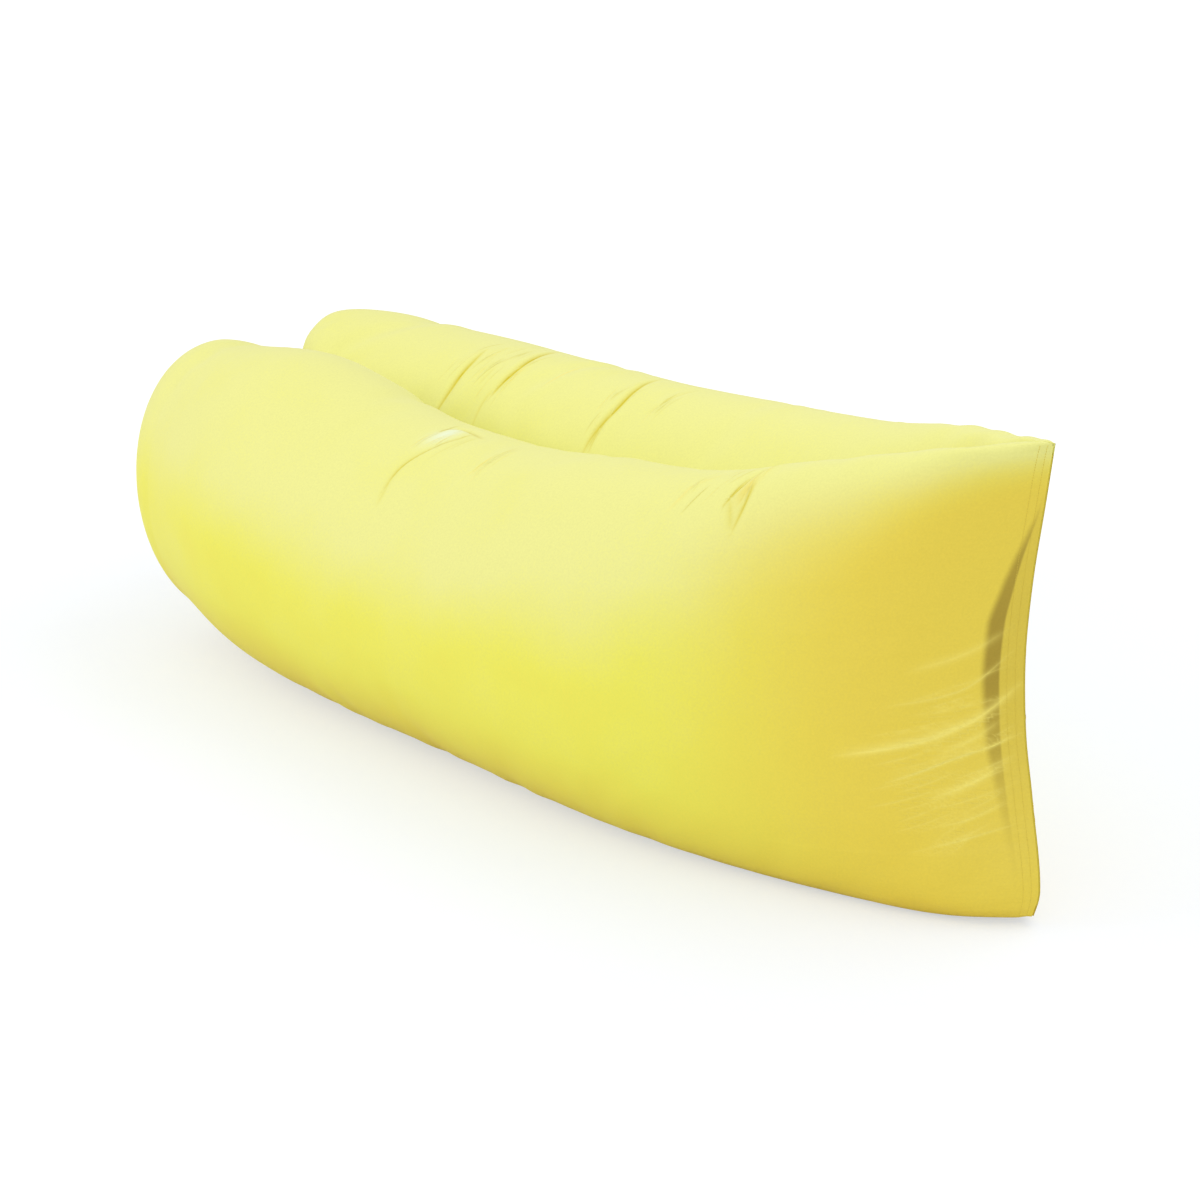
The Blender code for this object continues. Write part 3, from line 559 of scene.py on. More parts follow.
# Simulates the sleeve as slack cloth under pressure. Returns how far the folds rise, and where its rows lie.
def blowUp(side):
    columns = int(sleeve["girth"] / cloth["gap"])
    turn = np.linspace(0, 2 * math.pi, columns + 1)[None, :]
    lobeAngles = np.radians(np.linspace(89, 3, 28))[:, None]
    places = np.linspace(0, 1, int(sleeve["run"] / cloth["gap"]))[:, None]
    points = np.concatenate([lobePoints(side, lobeAngles, turn), bodyPoints(side, places, turn)], 0)
    rowPlaces = np.concatenate([-lobeAngles[:, 0] / (math.pi / 2), places[:, 0]])
    obj = gridPiece("blown_" + side, points, rowPlaces[:, None], turn)
    spots = obj.data.attributes.new("spot", "INT", "POINT")
    spots.data.foreach_set("value", np.arange(points.shape[0] * points.shape[1]))
    closeMesh(0.01 * mm)
    count = len(obj.data.vertices)
    spot = np.zeros(count, np.int64)
    obj.data.attributes["spot"].data.foreach_get("value", spot)
    flat = points.reshape(-1, 3)[spot]
    row = rowPlaces[spot // (columns + 1)]
    hold = np.clip(1 - (1 - row) * sleeve["run"] / cloth["held"], 0, 1) + np.clip((-0.62 - row) / 0.2, 0, 1)
    hold += (flat[:, 2] < 6 * mm) + (flat[:, 1] < sleeve["wallGap"] + 4 * mm)
    group = obj.vertex_groups.new(name="held")
    for i in np.nonzero(hold > 0)[0]:
        group.add([int(i)], float(min(hold[i], 1)), "REPLACE")
    bpy.ops.object.modifier_add(type="CLOTH")
    modifier = obj.modifiers[-1]
    fabric = modifier.settings
    for key, value in cloth["solver"].items():
        setattr(fabric, key, value)
    fabric.vertex_group_mass = group.name
    fabric.effector_weights.gravity = 0
    modifier.point_cache.frame_end = cloth["frames"]
    for frameNumber in range(1, cloth["frames"] + 1):
        bpy.context.scene.frame_set(frameNumber)
    bpy.ops.object.modifier_apply(modifier=modifier.name)
    blown = np.zeros(count * 3, np.float32)
    obj.data.vertices.foreach_get("co", blown)
    moved = np.zeros(points.shape)
    for column in (spot, np.where(spot % (columns + 1) == columns, spot - columns, spot)):
        moved.reshape(-1, 3)[column] = blown.reshape(-1, 3) - flat
    bpy.data.objects.remove(obj)
    bpy.context.scene.frame_set(1)
    rise = (moved * gridNormals(points, True)).sum(-1)
    print(side, "sleeve blown up, rise in mm", np.percentile(rise * 1000, (1, 25, 50, 75, 99)).round(1))
    wrinkles = blurred(rise[:, :-1], 1) - blurred(rise[:, :-1], int(cloth["wide"] / cloth["gap"] / 2))
    wrinkles = np.clip(wrinkles, -cloth["cap"], cloth["cap"])
    return np.concatenate([wrinkles, wrinkles[:, :1]], 1), rowPlaces


def sleevePoints(side, seed):
    turn = ringTurns(side)[None, :]
    neck = np.linspace(0, 1, 8)[:, None]
    lobeAngles = np.radians(np.concatenate([np.linspace(89, 60, 14), np.linspace(57, 3, 30)]))[:, None]
    places = ringPlaces(side)[:, None]
    parts = [neckPoints(neck, turn), lobePoints(side, lobeAngles, turn), bodyPoints(side, places, turn)]
    points = np.concatenate(parts, 0)
    turns = np.broadcast_to(turn, points.shape[:2])
    onNeck, onBody = np.ones(len(neck)), np.zeros(len(places))
    lobeDegrees = np.degrees(lobeAngles[:, 0])
    gather = np.concatenate([2 * onNeck, 1 + np.clip((lobeDegrees - 89) / 64, -1, 0), onBody])
    place = np.concatenate([-0.06 * onNeck, -0.10 * lobeAngles[:, 0], places[:, 0]])
    place = np.broadcast_to(place[:, None], turns.shape)
    normal = gridNormals(points, True)
    outward = np.clip(np.sin(turns) * 1.5 + 0.4, 0, 1)
    moved = creaseRelief(side, place, turns)
    beyondNeck = gather[:, None] < 2
    moved += relief["swell"] * slowWaves(points, seed) * beyondNeck * np.clip((1 - place) * 12, 0, 1)
    moved += hoopRelief(side, place, turns, seed + 1)
    ripple = 0.55 * np.sin(relief["pleats"] * turns + 1.3 * np.sin(2 * turns + seed)) + 0.45 * np.sin(
        (relief["pleats"] * 2 - 5) * turns + seed
    )
    ripple = 1 - np.abs(ripple) ** 0.8
    onLobe = np.clip(gather, 0, 1)[:, None] ** 2 * beyondNeck
    moved += relief["pleatDepth"] * ripple * onLobe * outward
    moved += relief["neckPleat"] * ripple * (gather[:, None] == 2) * np.clip(np.sin(turns), 0, 1)
    folds, rowPlaces = blowUp(side)
    rowKey = np.concatenate([-onNeck, -lobeAngles[:, 0] / (math.pi / 2), places[:, 0]])
    rowAt = np.interp(rowKey, rowPlaces, np.arange(len(rowPlaces)))
    moved += sampleGrid(folds, rowAt, turn[0] / (2 * math.pi) * (folds.shape[1] - 1))
    fromSeam = (1 - place) * sleeve["run"]
    pucker = np.abs(np.sin(relief["seamPuckers"] * np.cos(turns) + 0.8 * np.sin(9 * np.cos(turns) + seed)))
    pucker *= np.exp(-((fromSeam / relief["puckerReach"]) ** 2)) * (place > 0.5)
    moved += relief["puckerDepth"] * pucker
    floorShare = np.clip(points[..., 2] / relief["floorHold"], 0, 1)
    wallShare = np.clip((points[..., 1] - sleeve["wallGap"]) / relief["wallHold"], 0, 1)
    wallShare = np.where(gather[:, None] > 0.4, 1, wallShare)
    seamShare = np.clip(fromSeam / relief["seamHold"], 0, 1)
    points = points + normal * (moved * floorShare * wallShare * seamShare)[..., None]
    points[..., 1] = np.maximum(points[..., 1], sleeve["wallGap"])
    points[..., 2] = np.maximum(points[..., 2], 0)
    closing = np.clip(1 - fromSeam / sleeve["seamRun"], 0, 1) ** 2
    points[..., 1] -= (points[..., 1] - sleeve["wallGap"]).clip(0, sleeve["seamThickness"]) * closing * 0.95
    for row in (0, -1):  # the sewn ends are pressed flat
        points[row, :, 1] = points[row, :, 1].min() + 0.3 * mm
    points[:, -1] = points[:, 0]
    lobeAngle = np.concatenate([90 * onNeck, lobeDegrees, onBody])
    return points, place, turns, gather, lobeAngle, normal


tapeShadowBand = {  # painted shadow of the tape inside the head seam, showing dark through the fabric beside the seam
    "turns": (30, 44, 59, 74, 88, 104, 116, 130, 150),
    "from": (0.000, 0.004, 0.011, 0.018, 0.019, 0.018, 0.016, 0.014, 0.012),
    "to": (0.000, 0.001, 0.005, 0.0085, 0.0095, 0.0095, 0.0095, 0.009, 0.008),
    "strength": (0.0, 0.55, 0.9, 1.0, 1.0, 0.78, 0.4, 0.15, 0.0),
    "beyond": 0.24,  # how much of it still shows between the band and the seam
}


def tapeShadowMarks(place, turn):  # how far inside the band's two edges, in centimetres, and its strength
    degrees = np.degrees(turn)
    inner, outer, strength = [np.interp(degrees, tapeShadowBand["turns"], tapeShadowBand[k]) for k in ("from", "to", "strength")]
    seam = 1 - place
    reach = sleeve["run"] * 100
    return np.clip((inner - seam) * reach, -5, 5), np.clip((seam - outer) * reach, -5, 5), strength


sleeveNylon, sleeveShader = newMaterial(
    "sleeveNylon",
    {
        "Roughness": 0.48, "IOR": 1.53, "Specular IOR Level": 0.22,
        "Sheen Weight": 0.04, "Sheen Roughness": 0.4,
    },
)
# Coated 190T nylon taffeta, with light and shade painted into its colour: pale where the light is thrown back,
# deep golden where it comes through the cloth
clothLooks = {
    "litPale": "#F1F093",
    "vivid": "#F1EE60",
    "vividTone": 0.45,
    "shadedGolden": "#EBD050",
    # painted shade on the sides of the head end
    "head": "#EED450",
    # painted highlight on the folds' ridges
    "ridgeHighlight": "#FFF07C",
    "glint": "#F2FAD2",  # cloth that lies flat between two folds and throws the sky's light back
    # painted shadow of the tape inside the head seam
    "tape": "#B09838",
    # painted shade in the folds' grooves
    "fold": "#DDC900",
    "creasesLine": 0.35,  # centimetres, over which a fold's line fades
    "pullsLine": 0.15,
    "hairsLine": 0.11,
    "threads": 5 * mm,  # between the thicker threads of the ripstop grid
    "weave": 0.9 * mm,  # real threads are 0.13 mm apart, so they are drawn coarser to show at all
}


def addClothLooks(material, shader, looks):
    marks = {}
    folds = [mark + end for mark in ("creases", "pulls", "hairs") for end in ("Away", "Size")]
    for name in ["facingShade", "goldenShade", "glint", "crinkle", "tapeShadowInner", "tapeShadowOuter", "tapeShadowStrength"] + folds:
        marks[name] = addNode(material, "Attribute", {"attribute_name": name}).outputs["Fac"]
    uv = addNode(material, "TexCoord").outputs["UV"]
    place = addNode(material, "TexCoord").outputs["Object"]
    # Painted shadow of the tape inside the head seam, showing through the cloth
    edges = []
    for name, softness in (("tapeShadowInner", 0.7), ("tapeShadowOuter", 0.2)):
        step = {"interpolation_type": "SMOOTHSTEP", 0: marks[name], 1: 0.0, 2: softness}
        edges.append(addNode(material, "MapRange", step))
    seamward = addNode(material, "MapRange", {0: edges[1], 3: tapeShadowBand["beyond"], 4: 1.0})
    across = addNode(material, "Math", {"operation": "MULTIPLY", 0: edges[0], 1: seamward})
    tape = addNode(material, "Math", {"operation": "MULTIPLY", 0: across, 1: marks["tapeShadowStrength"]})
    # Painted shade from how the cloth faces, from pale to golden, with the cloth's own tone a little uneven
    mottle = addNode(material, "TexNoise", {"Scale": 9, "Detail": 3, "Vector": place})
    grain = addNode(material, "TexNoise", {"Scale": 320, "Detail": 2, "Vector": place})
    unevenness = addNode(material, "Math", {"operation": "MULTIPLY_ADD", 0: grain, 1: 0.7, 2: mottle})
    shifted = addNode(material, "Math", {"operation": "MULTIPLY_ADD", 0: unevenness, 1: 0.26, 2: -0.22})
    toned = addNode(material, "Math", {"operation": "ADD", "use_clamp": True, 0: marks["facingShade"], 1: shifted})
    ramp = addNode(material, "ValToRGB", {0: toned})
    ramp.color_ramp.elements.new(looks["vividTone"])
    for element, colour in zip(ramp.color_ramp.elements, ("litPale", "vivid", "shadedGolden")):
        element.color = linear(looks[colour])
    # The folds, with painted shade in their grooves and a painted highlight on their ridges
    lines = []
    for mark in ("creases", "pulls", "hairs"):
        apart = addNode(material, "Math", {"operation": "ABSOLUTE", 0: marks[mark + "Away"]})
        fall = addNode(material, "Math", {"operation": "MULTIPLY", 0: apart, 1: -1 / looks[mark + "Line"]})
        line = addNode(material, "Math", {"operation": "EXPONENT", 0: fall})
        lines.append(addNode(material, "Math", {"operation": "MULTIPLY", 0: line, 1: marks[mark + "Size"]}))
    two = addNode(material, "Math", {"operation": "ADD", 0: lines[0], 1: lines[1]})
    marked = addNode(material, "Math", {"operation": "ADD", 0: two, 1: lines[2]})
    shade = addNode(material, "Math", {"operation": "MULTIPLY", "use_clamp": True, 0: marked, 1: 1.0})
    ridgeHighlight = addNode(material, "Math", {"operation": "MULTIPLY", "use_clamp": True, 0: marked, 1: -1.3})
    colour = ramp.outputs[0]
    layers = {"head": marks["goldenShade"], "glint": marks["glint"], "tape": tape, "fold": shade, "ridgeHighlight": ridgeHighlight}
    for name, share in layers.items():
        layer = {"data_type": "RGBA", 0: share, 6: colour, 7: linear(looks[name])}
        colour = addNode(material, "Mix", layer).outputs[2]
    speckle = addNode(material, "Math", {"operation": "MULTIPLY_ADD", 0: grain, 1: 0.12, 2: 0.94})
    speckled = addNode(material, "HueSaturation", {"Value": speckle, "Color": colour})
    feed(material, shader, "Base Color", speckled)
    # The weave with its ripstop grid, the gathers' crinkles and the folds, felt as bumps
    grid = []
    for direction in ("X", "Y"):
        bands = {"bands_direction": direction, "Scale": 0.314 / looks["threads"], "Vector": uv}
        grid.append(addNode(material, "TexWave", bands).outputs["Fac"])
    ripstop = addNode(material, "Math", {"operation": "MAXIMUM", 0: grid[0], 1: grid[1]})
    threads = addNode(material, "Math", {"operation": "POWER", 0: ripstop, 1: 24})
    weave = addNode(material, "TexNoise", {"Scale": 1 / looks["weave"], "Detail": 2, "Vector": uv})
    cloth = addNode(material, "Math", {"operation": "MULTIPLY_ADD", 0: threads, 1: 0.18, 2: weave})
    stretched = addNode(material, "Mapping", {"Scale": (14, 120, 1), "Vector": uv})
    crinkles = {"Scale": 1, "Detail": 3, "Roughness": 0.6, "Distortion": 0.6, "Vector": stretched}
    streaks = addNode(material, "TexNoise", crinkles)
    streak = addNode(material, "Math", {"operation": "MULTIPLY", 0: streaks, 1: marks["crinkle"]})
    sharp = addNode(material, "Math", {"operation": "MULTIPLY", 0: marked, 1: -1.0})
    below = {}
    for height, strength, depth in ((cloth, 0.10, 0.2), (streak, 0.55, 1.6), (sharp, 0.8, 2.2)):
        below.update({"Strength": strength, "Distance": depth * mm, "Height": height})
        bump = addNode(material, "Bump", below)
        below["Normal"] = bump
    feed(material, shader, "Normal", bump)


addClothLooks(sleeveNylon, sleeveShader, clothLooks)


def eased(share):
    share = np.clip(share, 0, 1)
    return share * share * (3 - 2 * share)


tones = {  # where the painted shade changes: its start and the run over which it does
    "head": (0.74, 0.2),
    "seam": (0.88, 0.12),
    "side": (17, 46),  # degrees from the crest
    "seamSide": (5, 20),  # how much nearer to the crest, and how much sharper, at the head seam
    "lower": (0.46, 0.5),  # by how far the cloth faces up: painted shade on the lower sides
    "under": (-0.3, 0.65),
    "lowerShade": 0.45,
    # how deep the painted shade on the head end's sides is
    "headShade": 0.85,
    "glint": (0.383, 0.011, 7.5, 9),  # a spot's place and reach, and its turn and reach in degrees
    # painted shade in the pucker between two creases
    "puckerShadeSpot": (0.7975, 0.005, 23, 7),
    "puckerShade": 0.5,
    "crinkleRun": 0.28,
    "seamCrinkle": 0.8,
    "gatherCrinkle": 0.7,
}


def paintedClothShade(place, turns, normal):  # painted shade from how the cloth faces: from pale on top to golden below, and how golden the head end is
    headness, seamness = [eased((place - start) / run) for start, run in (tones["head"], tones["seam"])]
    (start, run), (nearer, sharper) = tones["side"], tones["seamSide"]
    fromCrest = np.degrees(np.minimum(turns, 2 * math.pi - turns))
    side = eased((fromCrest - start + nearer * seamness) / (run - sharper * seamness))
    lower, under = [(start - normal[..., 2]) / run for start, run in (tones["lower"], tones["under"])]
    lower = eased(lower) * (1 - headness + headness * side)
    facingShade = tones["lowerShade"] * lower + tones["lowerShade"] * np.clip(under, 0, 1)
    return np.clip(facingShade, 0, 1), tones["headShade"] * headness * side


def paintedSpot(place, turns, spot):  # a soft spot on the cloth beside a crease, for a painted highlight and a painted shade
    middle, reach, degrees, spread = spot
    return np.exp(-(((place - middle) / reach) ** 2) - ((np.degrees(turns) - degrees) / spread) ** 2)



def buildSleeve(side, seed):
    points, place, turns, gather, lobeAngle, smoothNormal = sleevePoints(side, seed)
    hand = -1 if side == "near" else 1
    sleeveShapes[side] = {
        "points": points, "place": place, "turns": turns, "gather": gather, "lobeAngle": lobeAngle,
        "hand": hand,
    }
    along = lengthsAlong(points[:, np.searchsorted(turns[0], 1.57)])[:, None]
    across = turns / (2 * math.pi) * sleeve["girth"]
    obj = gridPiece(side + "_sleeve_cloth", placed(points, hand), along, across)
    facingShade, goldenShade = paintedClothShade(place, turns, smoothNormal * 0.65 + gridNormals(points, True) * 0.35)
    glint = place * 0
    # On the near sleeve, a painted highlight on flat cloth between two folds, and painted shade in a pucker
    if side == "near":
        glint = paintedSpot(place, turns, tones["glint"])
        goldenShade += tones["puckerShade"] * paintedSpot(place, turns, tones["puckerShadeSpot"])
    fromSeam = (1 - place) * sleeve["run"]
    crinkle = np.clip(1 - fromSeam / tones["crinkleRun"], 0, 1) ** 1.5 * (place > 0.5) * tones["seamCrinkle"]
    crinkle += np.clip(gather, 0, 1)[:, None] * tones["gatherCrinkle"]
    marks = {"facingShade": facingShade, "goldenShade": goldenShade, "glint": glint, "crinkle": crinkle}
    marks.update(zip(("tapeShadowInner", "tapeShadowOuter", "tapeShadowStrength"), tapeShadowMarks(place, turns)))
    for mark, (away, size) in foldMarks(side, place, turns).items():
        marks.update({mark + "Away": away, mark + "Size": size})
    for name, values in marks.items():
        addAttribute(obj, name, values)
    closeMesh(0.02 * mm)
    dress(obj, sleeveNylon)
    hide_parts(side + "_sleeve")
    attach(obj, "root")
    print(obj.name, len(obj.data.polygons), "faces")


sleeveShapes = {}
buildSleeve("near", 3)
buildSleeve("far", 8)


def thicken(obj, thickness, offset=0.0):
    bpy.ops.object.modifier_add(type="SOLIDIFY")
    solid = obj.modifiers[-1]
    solid.thickness = thickness
    solid.offset = offset
    bpy.ops.object.modifier_apply(modifier=solid.name)


# Liners: bags of clear film that follow the cloth from inside
liner = {
    "inset": 4 * mm,
    "everyRow": 2,
    "everyPoint": 3,
    "lobeAngle": 54,
    "end": 0.962,
    "cleftGap": 25 * mm,
    "cleftRun": 0.09,
    "capAngles": (1.57, 1.2, 0.8, 0.4),  # of the rounded ends
}
linerFilm, linerShader = newMaterial(  # welded polyethylene film, milky and crinkled
    "linerFilm", {"Base Color": linear("#E9EBE6"), "Roughness": 0.28, "Transmission Weight": 0.25, "IOR": 1.5}
)
filmPlace = addNode(linerFilm, "TexCoord").outputs["Object"]
filmCells = {"feature": "DISTANCE_TO_EDGE", "Scale": 38, "Vector": filmPlace}
filmCrinkle = addNode(linerFilm, "TexVoronoi", filmCells).outputs["Distance"]
filmBump = addNode(linerFilm, "Bump", {"Strength": 0.3, "Distance": 1 * mm, "Height": filmCrinkle})
feed(linerFilm, linerShader, "Normal", filmBump)


def buildLiner(side):
    shape = sleeveShapes[side]
    lobe = (shape["gather"] < 2) & (shape["lobeAngle"] < liner["lobeAngle"])
    rows = np.nonzero(lobe & (shape["place"][:, 0] < liner["end"]))[0][:: liner["everyRow"]]
    points = shape["points"] - gridNormals(shape["points"], True) * liner["inset"]
    points = points[rows, :: liner["everyPoint"]]
    gap = np.where(points[..., 0] < liner["cleftRun"], liner["cleftGap"], sleeve["wallGap"] + liner["inset"])
    points[..., 1] = np.maximum(points[..., 1], gap)
    caps = []
    for ring in (points[0], points[-1]):
        middle = ring.mean(0)
        caps.append(np.array([middle + (ring - middle) * math.cos(a) for a in liner["capAngles"]]))
    points = np.concatenate([caps[0], points, caps[1][::-1]], 0)
    along = np.linspace(0, sleeve["run"], len(points))[:, None]
    across = np.linspace(0, sleeve["girth"], points.shape[1])[None, :]
    obj = gridPiece(side + "_liner_bag", placed(points, shape["hand"]), along, across)
    closeMesh(0.01 * mm)
    dress(obj, linerFilm)
    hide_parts(side + "_air_liner")
    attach(obj, "root")


for side in ("near", "far"):
    buildLiner(side)
print("liners built")

# Sewn tapes
tape = {
    "thickness": 2.2 * mm,
    "rows": 90,
    "joinRows": 400,
    "columns": 9,
    "pucker": 0.12 * mm,
    "inset": 0.4 * mm,
}
seamTape, tapeShader = newMaterial(  # woven polyester binding
    "wovenSeamTape", {"Base Color": linear("#DCCB4C"), "Roughness": 0.8, "Specular IOR Level": 0.2}
)
tapeUv = addNode(seamTape, "TexCoord").outputs["UV"]
tapeBands = {"bands_direction": "DIAGONAL", "Scale": 260, "Distortion": 0.4, "Vector": tapeUv}
tapeRibs = addNode(seamTape, "TexWave", tapeBands).outputs["Fac"]
tapeBump = addNode(seamTape, "Bump", {"Strength": 0.35, "Distance": 0.3 * mm, "Height": tapeRibs})
feed(seamTape, tapeShader, "Normal", tapeBump)


def buildTapes():
    share = np.linspace(0, 1, tape["columns"])[None, :]
    low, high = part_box("head_seam_tape")
    height = np.linspace(low.z, high.z, tape["rows"])[:, None]
    edge = sleeve["run"] - seamDraw(height) - tape["inset"]
    inner = low.x - shiftX
    x = edge + (inner - edge) * share
    points = np.stack([x, tape["pucker"] * np.sin(height * 400 + share * 4), height + share * 0], -1)
    head = gridPiece("head_seam_binding", placed(points), height, edge - x)
    thicken(head, tape["thickness"])
    dress(head, seamTape)
    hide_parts("head_seam_tape")
    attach(head, "root")
    low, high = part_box("centre_join_tape")
    x = np.linspace(low.x, high.x, tape["joinRows"])[:, None] - shiftX
    height = low.z + (high.z - low.z) * share
    points = np.stack([x + share * 0, tape["pucker"] * np.sin(x * 300 + share * 4), height + x * 0], -1)
    join = gridPiece("centre_join_binding", placed(points), x, height)
    thicken(join, tape["thickness"])
    dress(join, seamTape)
    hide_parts("centre_join_tape")
    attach(join, "root")


buildTapes()
print("tapes built")

# Rolled mouth: the cloth of both mouths, rolled up round the stiffening strips and bent into a loop
roll = {
    "turns": 3.25,
    "core": np.array([4.6 * mm, 19 * mm]),  # half thickness and half width
    "outer": np.array([12.3 * mm, 29.2 * mm]),
    "square": 0.6,
    "cloth": 1.3 * mm,
    "endAngle": 147.5,
    "rings": 200,
    "points": 160,
    "folds": 90,
    "foldDepth": 3.0 * mm,
    "wander": 0.8 * mm,
}


def loopPoint(angle, out=0.0):  # on the loop's middle line or out from it, as x from the cleft and height
    nx, nz = loop["halfHeight"] * np.cos(angle), loop["halfDepth"] * np.sin(angle)
    size = np.hypot(nx, nz)
    x = loopX + loop["halfDepth"] * np.cos(angle) + nx / size * out
    return x, sleeve["neckHeight"] + loop["halfHeight"] * np.sin(angle) + nz / size * out


def rollFolds(angle, turn):  # how far cross folds squeeze the roll in, mostly on the inner side of the bend
    picks = np.random.RandomState(31)
    total = np.zeros(np.broadcast(angle, turn).shape)
    end = math.radians(roll["endAngle"])
    for _ in range(roll["folds"]):
        middle = (picks.rand() * 2 - 1) * end
        width = 0.016 + 0.03 * picks.rand()
        centre = -math.pi / 2 + picks.normal() * 0.75
        spread = 0.35 + 0.6 * picks.rand()
        slant = picks.normal() * 0.05
        depth = 0.35 + 0.65 * picks.rand()
        away = (turn - centre + math.pi) % (2 * math.pi) - math.pi
        across = (angle - middle - slant * away) / width
        total += depth * np.exp(-np.abs(across)) * np.exp(-((away / spread) ** 2))
    return total


def buildRoll():
    end = math.radians(roll["endAngle"])
    angle = np.linspace(-end, end, roll["rings"])[:, None]
    share = np.linspace(0, 1, roll["points"])[None, :]
    turn = math.pi / 2 + 2 * math.pi * roll["turns"] * share
    thick, wide = [low + (high - low) * share for low, high in zip(roll["core"], roll["outer"])]
    squeeze = rollFolds(angle, turn) * roll["foldDepth"] * share
    wave = roll["wander"] * np.sin(5 * angle + 2 * np.cos(turn)) * share * (1 - np.cos(turn) ** 2)
    out = (thick - squeeze) * power(np.sin(turn), roll["square"]) + np.minimum(wave, 0)
    side = (wide - 0.6 * squeeze) * power(np.cos(turn), roll["square"]) * (1 + 0.02 * np.sin(7 * angle))
    x, height = loopPoint(angle, out)
    points = np.stack([x, side + angle * 0, height], -1)
    along = (angle + end) * 0.138
    spiral = np.concatenate([[0], np.cumsum(np.hypot(np.diff(out[0]), np.diff(side[0])))])[None, :]
    obj = gridPiece("rolled_mouth", placed(points), along, spiral)
    # the rolled mouth takes a fixed middle share of the painted shade
    addAttribute(obj, "facingShade", np.full(points.shape[:2], 0.5))
    addAttribute(obj, "crinkle", np.full(points.shape[:2], 1.0))
    thicken(obj, roll["cloth"])
    dress(obj, sleeveNylon)
    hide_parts("mouth_roll")
    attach(obj, "root")


buildRoll()
print("mouth rolled")

# Webbing tabs: a strap sewn into the roll's core at both ends, doubled round a bar of the buckle
tab = {
    "width": 24.6 * mm,
    "layer": 1.05 * mm,
    "apart": 1.2 * mm,
    "barPlace": 29.5 * mm,
    "carried": 9 * mm,  # of the strap above the bar that moves with the plug as it is
    "barRadius": 2 * mm,
    "barGap": 0.45 * mm,
    "tailAngle": 138.7,
    "columns": 14,
    "boxAngles": (151, 163.5),  # between which the box with its cross is sewn
    "boxHalf": 9 * mm,
}
buckleX = loopX - loop["halfDepth"]
webbingWeave, webbingShader = newMaterial(  # woven polypropylene strap
    "webbingWeave", {"Roughness": 0.62, "Specular IOR Level": 0.35, "Sheen Weight": 0.1}
)


def addWeave(material, shader):
    uv = addNode(material, "TexCoord").outputs["UV"]
    slanted = addNode(material, "Mapping", {"Rotation": (0, 0, 0.62), "Vector": uv})
    across = {"bands_direction": "Y", "Scale": 165, "Distortion": 0.8, "Detail": 1, "Vector": uv}
    ribs = addNode(material, "TexWave", across).outputs["Fac"]
    along = {"bands_direction": "X", "Scale": 190, "Distortion": 0.5, "Vector": slanted}
    twill = addNode(material, "TexWave", along).outputs["Fac"]
    colours = {"data_type": "RGBA", 0: twill, 6: linear("#151517"), 7: linear("#2F2F33")}
    feed(material, shader, "Base Color", addNode(material, "Mix", colours).outputs[2])
    height = addNode(material, "Math", {"operation": "MULTIPLY_ADD", 0: ribs, 1: 0.6, 2: twill})
    bump = addNode(material, "Bump", {"Strength": 0.6, "Distance": 0.35 * mm, "Height": height})
    feed(material, shader, "Normal", bump)


addWeave(webbingWeave, webbingShader)


def tabPath(sign):  # the strap's middle line: out along one layer, round the bar and back along the other
    end = math.pi - math.asin((tab["barPlace"] + tab["barRadius"]) / loop["halfHeight"])
    angles = sign * np.linspace(math.radians(tab["tailAngle"]), end, 70)
    centre = np.array([buckleX, sleeve["neckHeight"] + sign * tab["barPlace"]])
    layers = []
    for out in (tab["apart"] / 2, -tab["apart"] / 2):
        line = np.stack(loopPoint(angles, out), -1)
        layers.append(line[np.linalg.norm(line - centre, axis=1) > 5 * mm])
    first, last = [math.atan2(*(line[-1] - centre)[::-1]) for line in layers]
    turn = (last - first) % (2 * math.pi)
    turn = turn - 2 * math.pi if turn < math.pi else turn
    radius = tab["barRadius"] + tab["barGap"] + tab["layer"] / 2
    arc = first + turn * np.linspace(0.1, 0.9, 24)
    eye = centre + radius * np.stack([np.cos(arc), np.sin(arc)], -1)
    path = np.concatenate([layers[0], eye, layers[1][::-1]])
    steps = lengthsAlong(path)
    even = np.linspace(0, steps[-1], int(steps[-1] / (0.7 * mm)))
    return np.stack([np.interp(even, steps, path[:, i]) for i in (0, 1)], -1), even


stitching = {"radius": 0.32 * mm, "length": 2.6 * mm, "gap": 0.9 * mm, "sink": 0.2 * mm, "rise": 0.12 * mm}


def sewRows(name, rows, material, rides=True):  # a row is its points and the cloth's normals there
    bpy.ops.object.select_all(action="DESELECT")
    bpy.ops.curve.primitive_bezier_curve_add()
    obj = bpy.context.object
    obj.name = name
    curve = obj.data
    curve.splines.clear()
    curve.dimensions = "3D"
    curve.bevel_depth = stitching["radius"]
    curve.bevel_resolution = 0
    curve.use_fill_caps = True
    for points, normals in rows:
        steps = lengthsAlong(points)
        for start in np.arange(0, steps[-1] - stitching["length"], stitching["length"] + stitching["gap"]):
            spline = curve.splines.new("POLY")
            spline.points.add(3)
            heights = (-stitching["sink"], stitching["rise"], stitching["rise"], -stitching["sink"])
            for i, (share, lift) in enumerate(zip((0, 0.25, 0.75, 1), heights)):
                at = start + share * stitching["length"]
                at = start + share * stitching["length"]
                here = np.array([np.interp(at, steps, points[:, k]) for k in range(3)])
                normal = np.array([np.interp(at, steps, normals[:, k]) for k in range(3)])
                here = here + normal / max(np.linalg.norm(normal), 1e-9) * lift
                spline.points[i].co = (*here, 1)
    bpy.ops.object.convert(target="MESH")
    obj = bpy.context.object
    bpy.ops.object.shade_smooth()
    dress(obj, material)
    if rides:
        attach(obj, "root")
    return obj


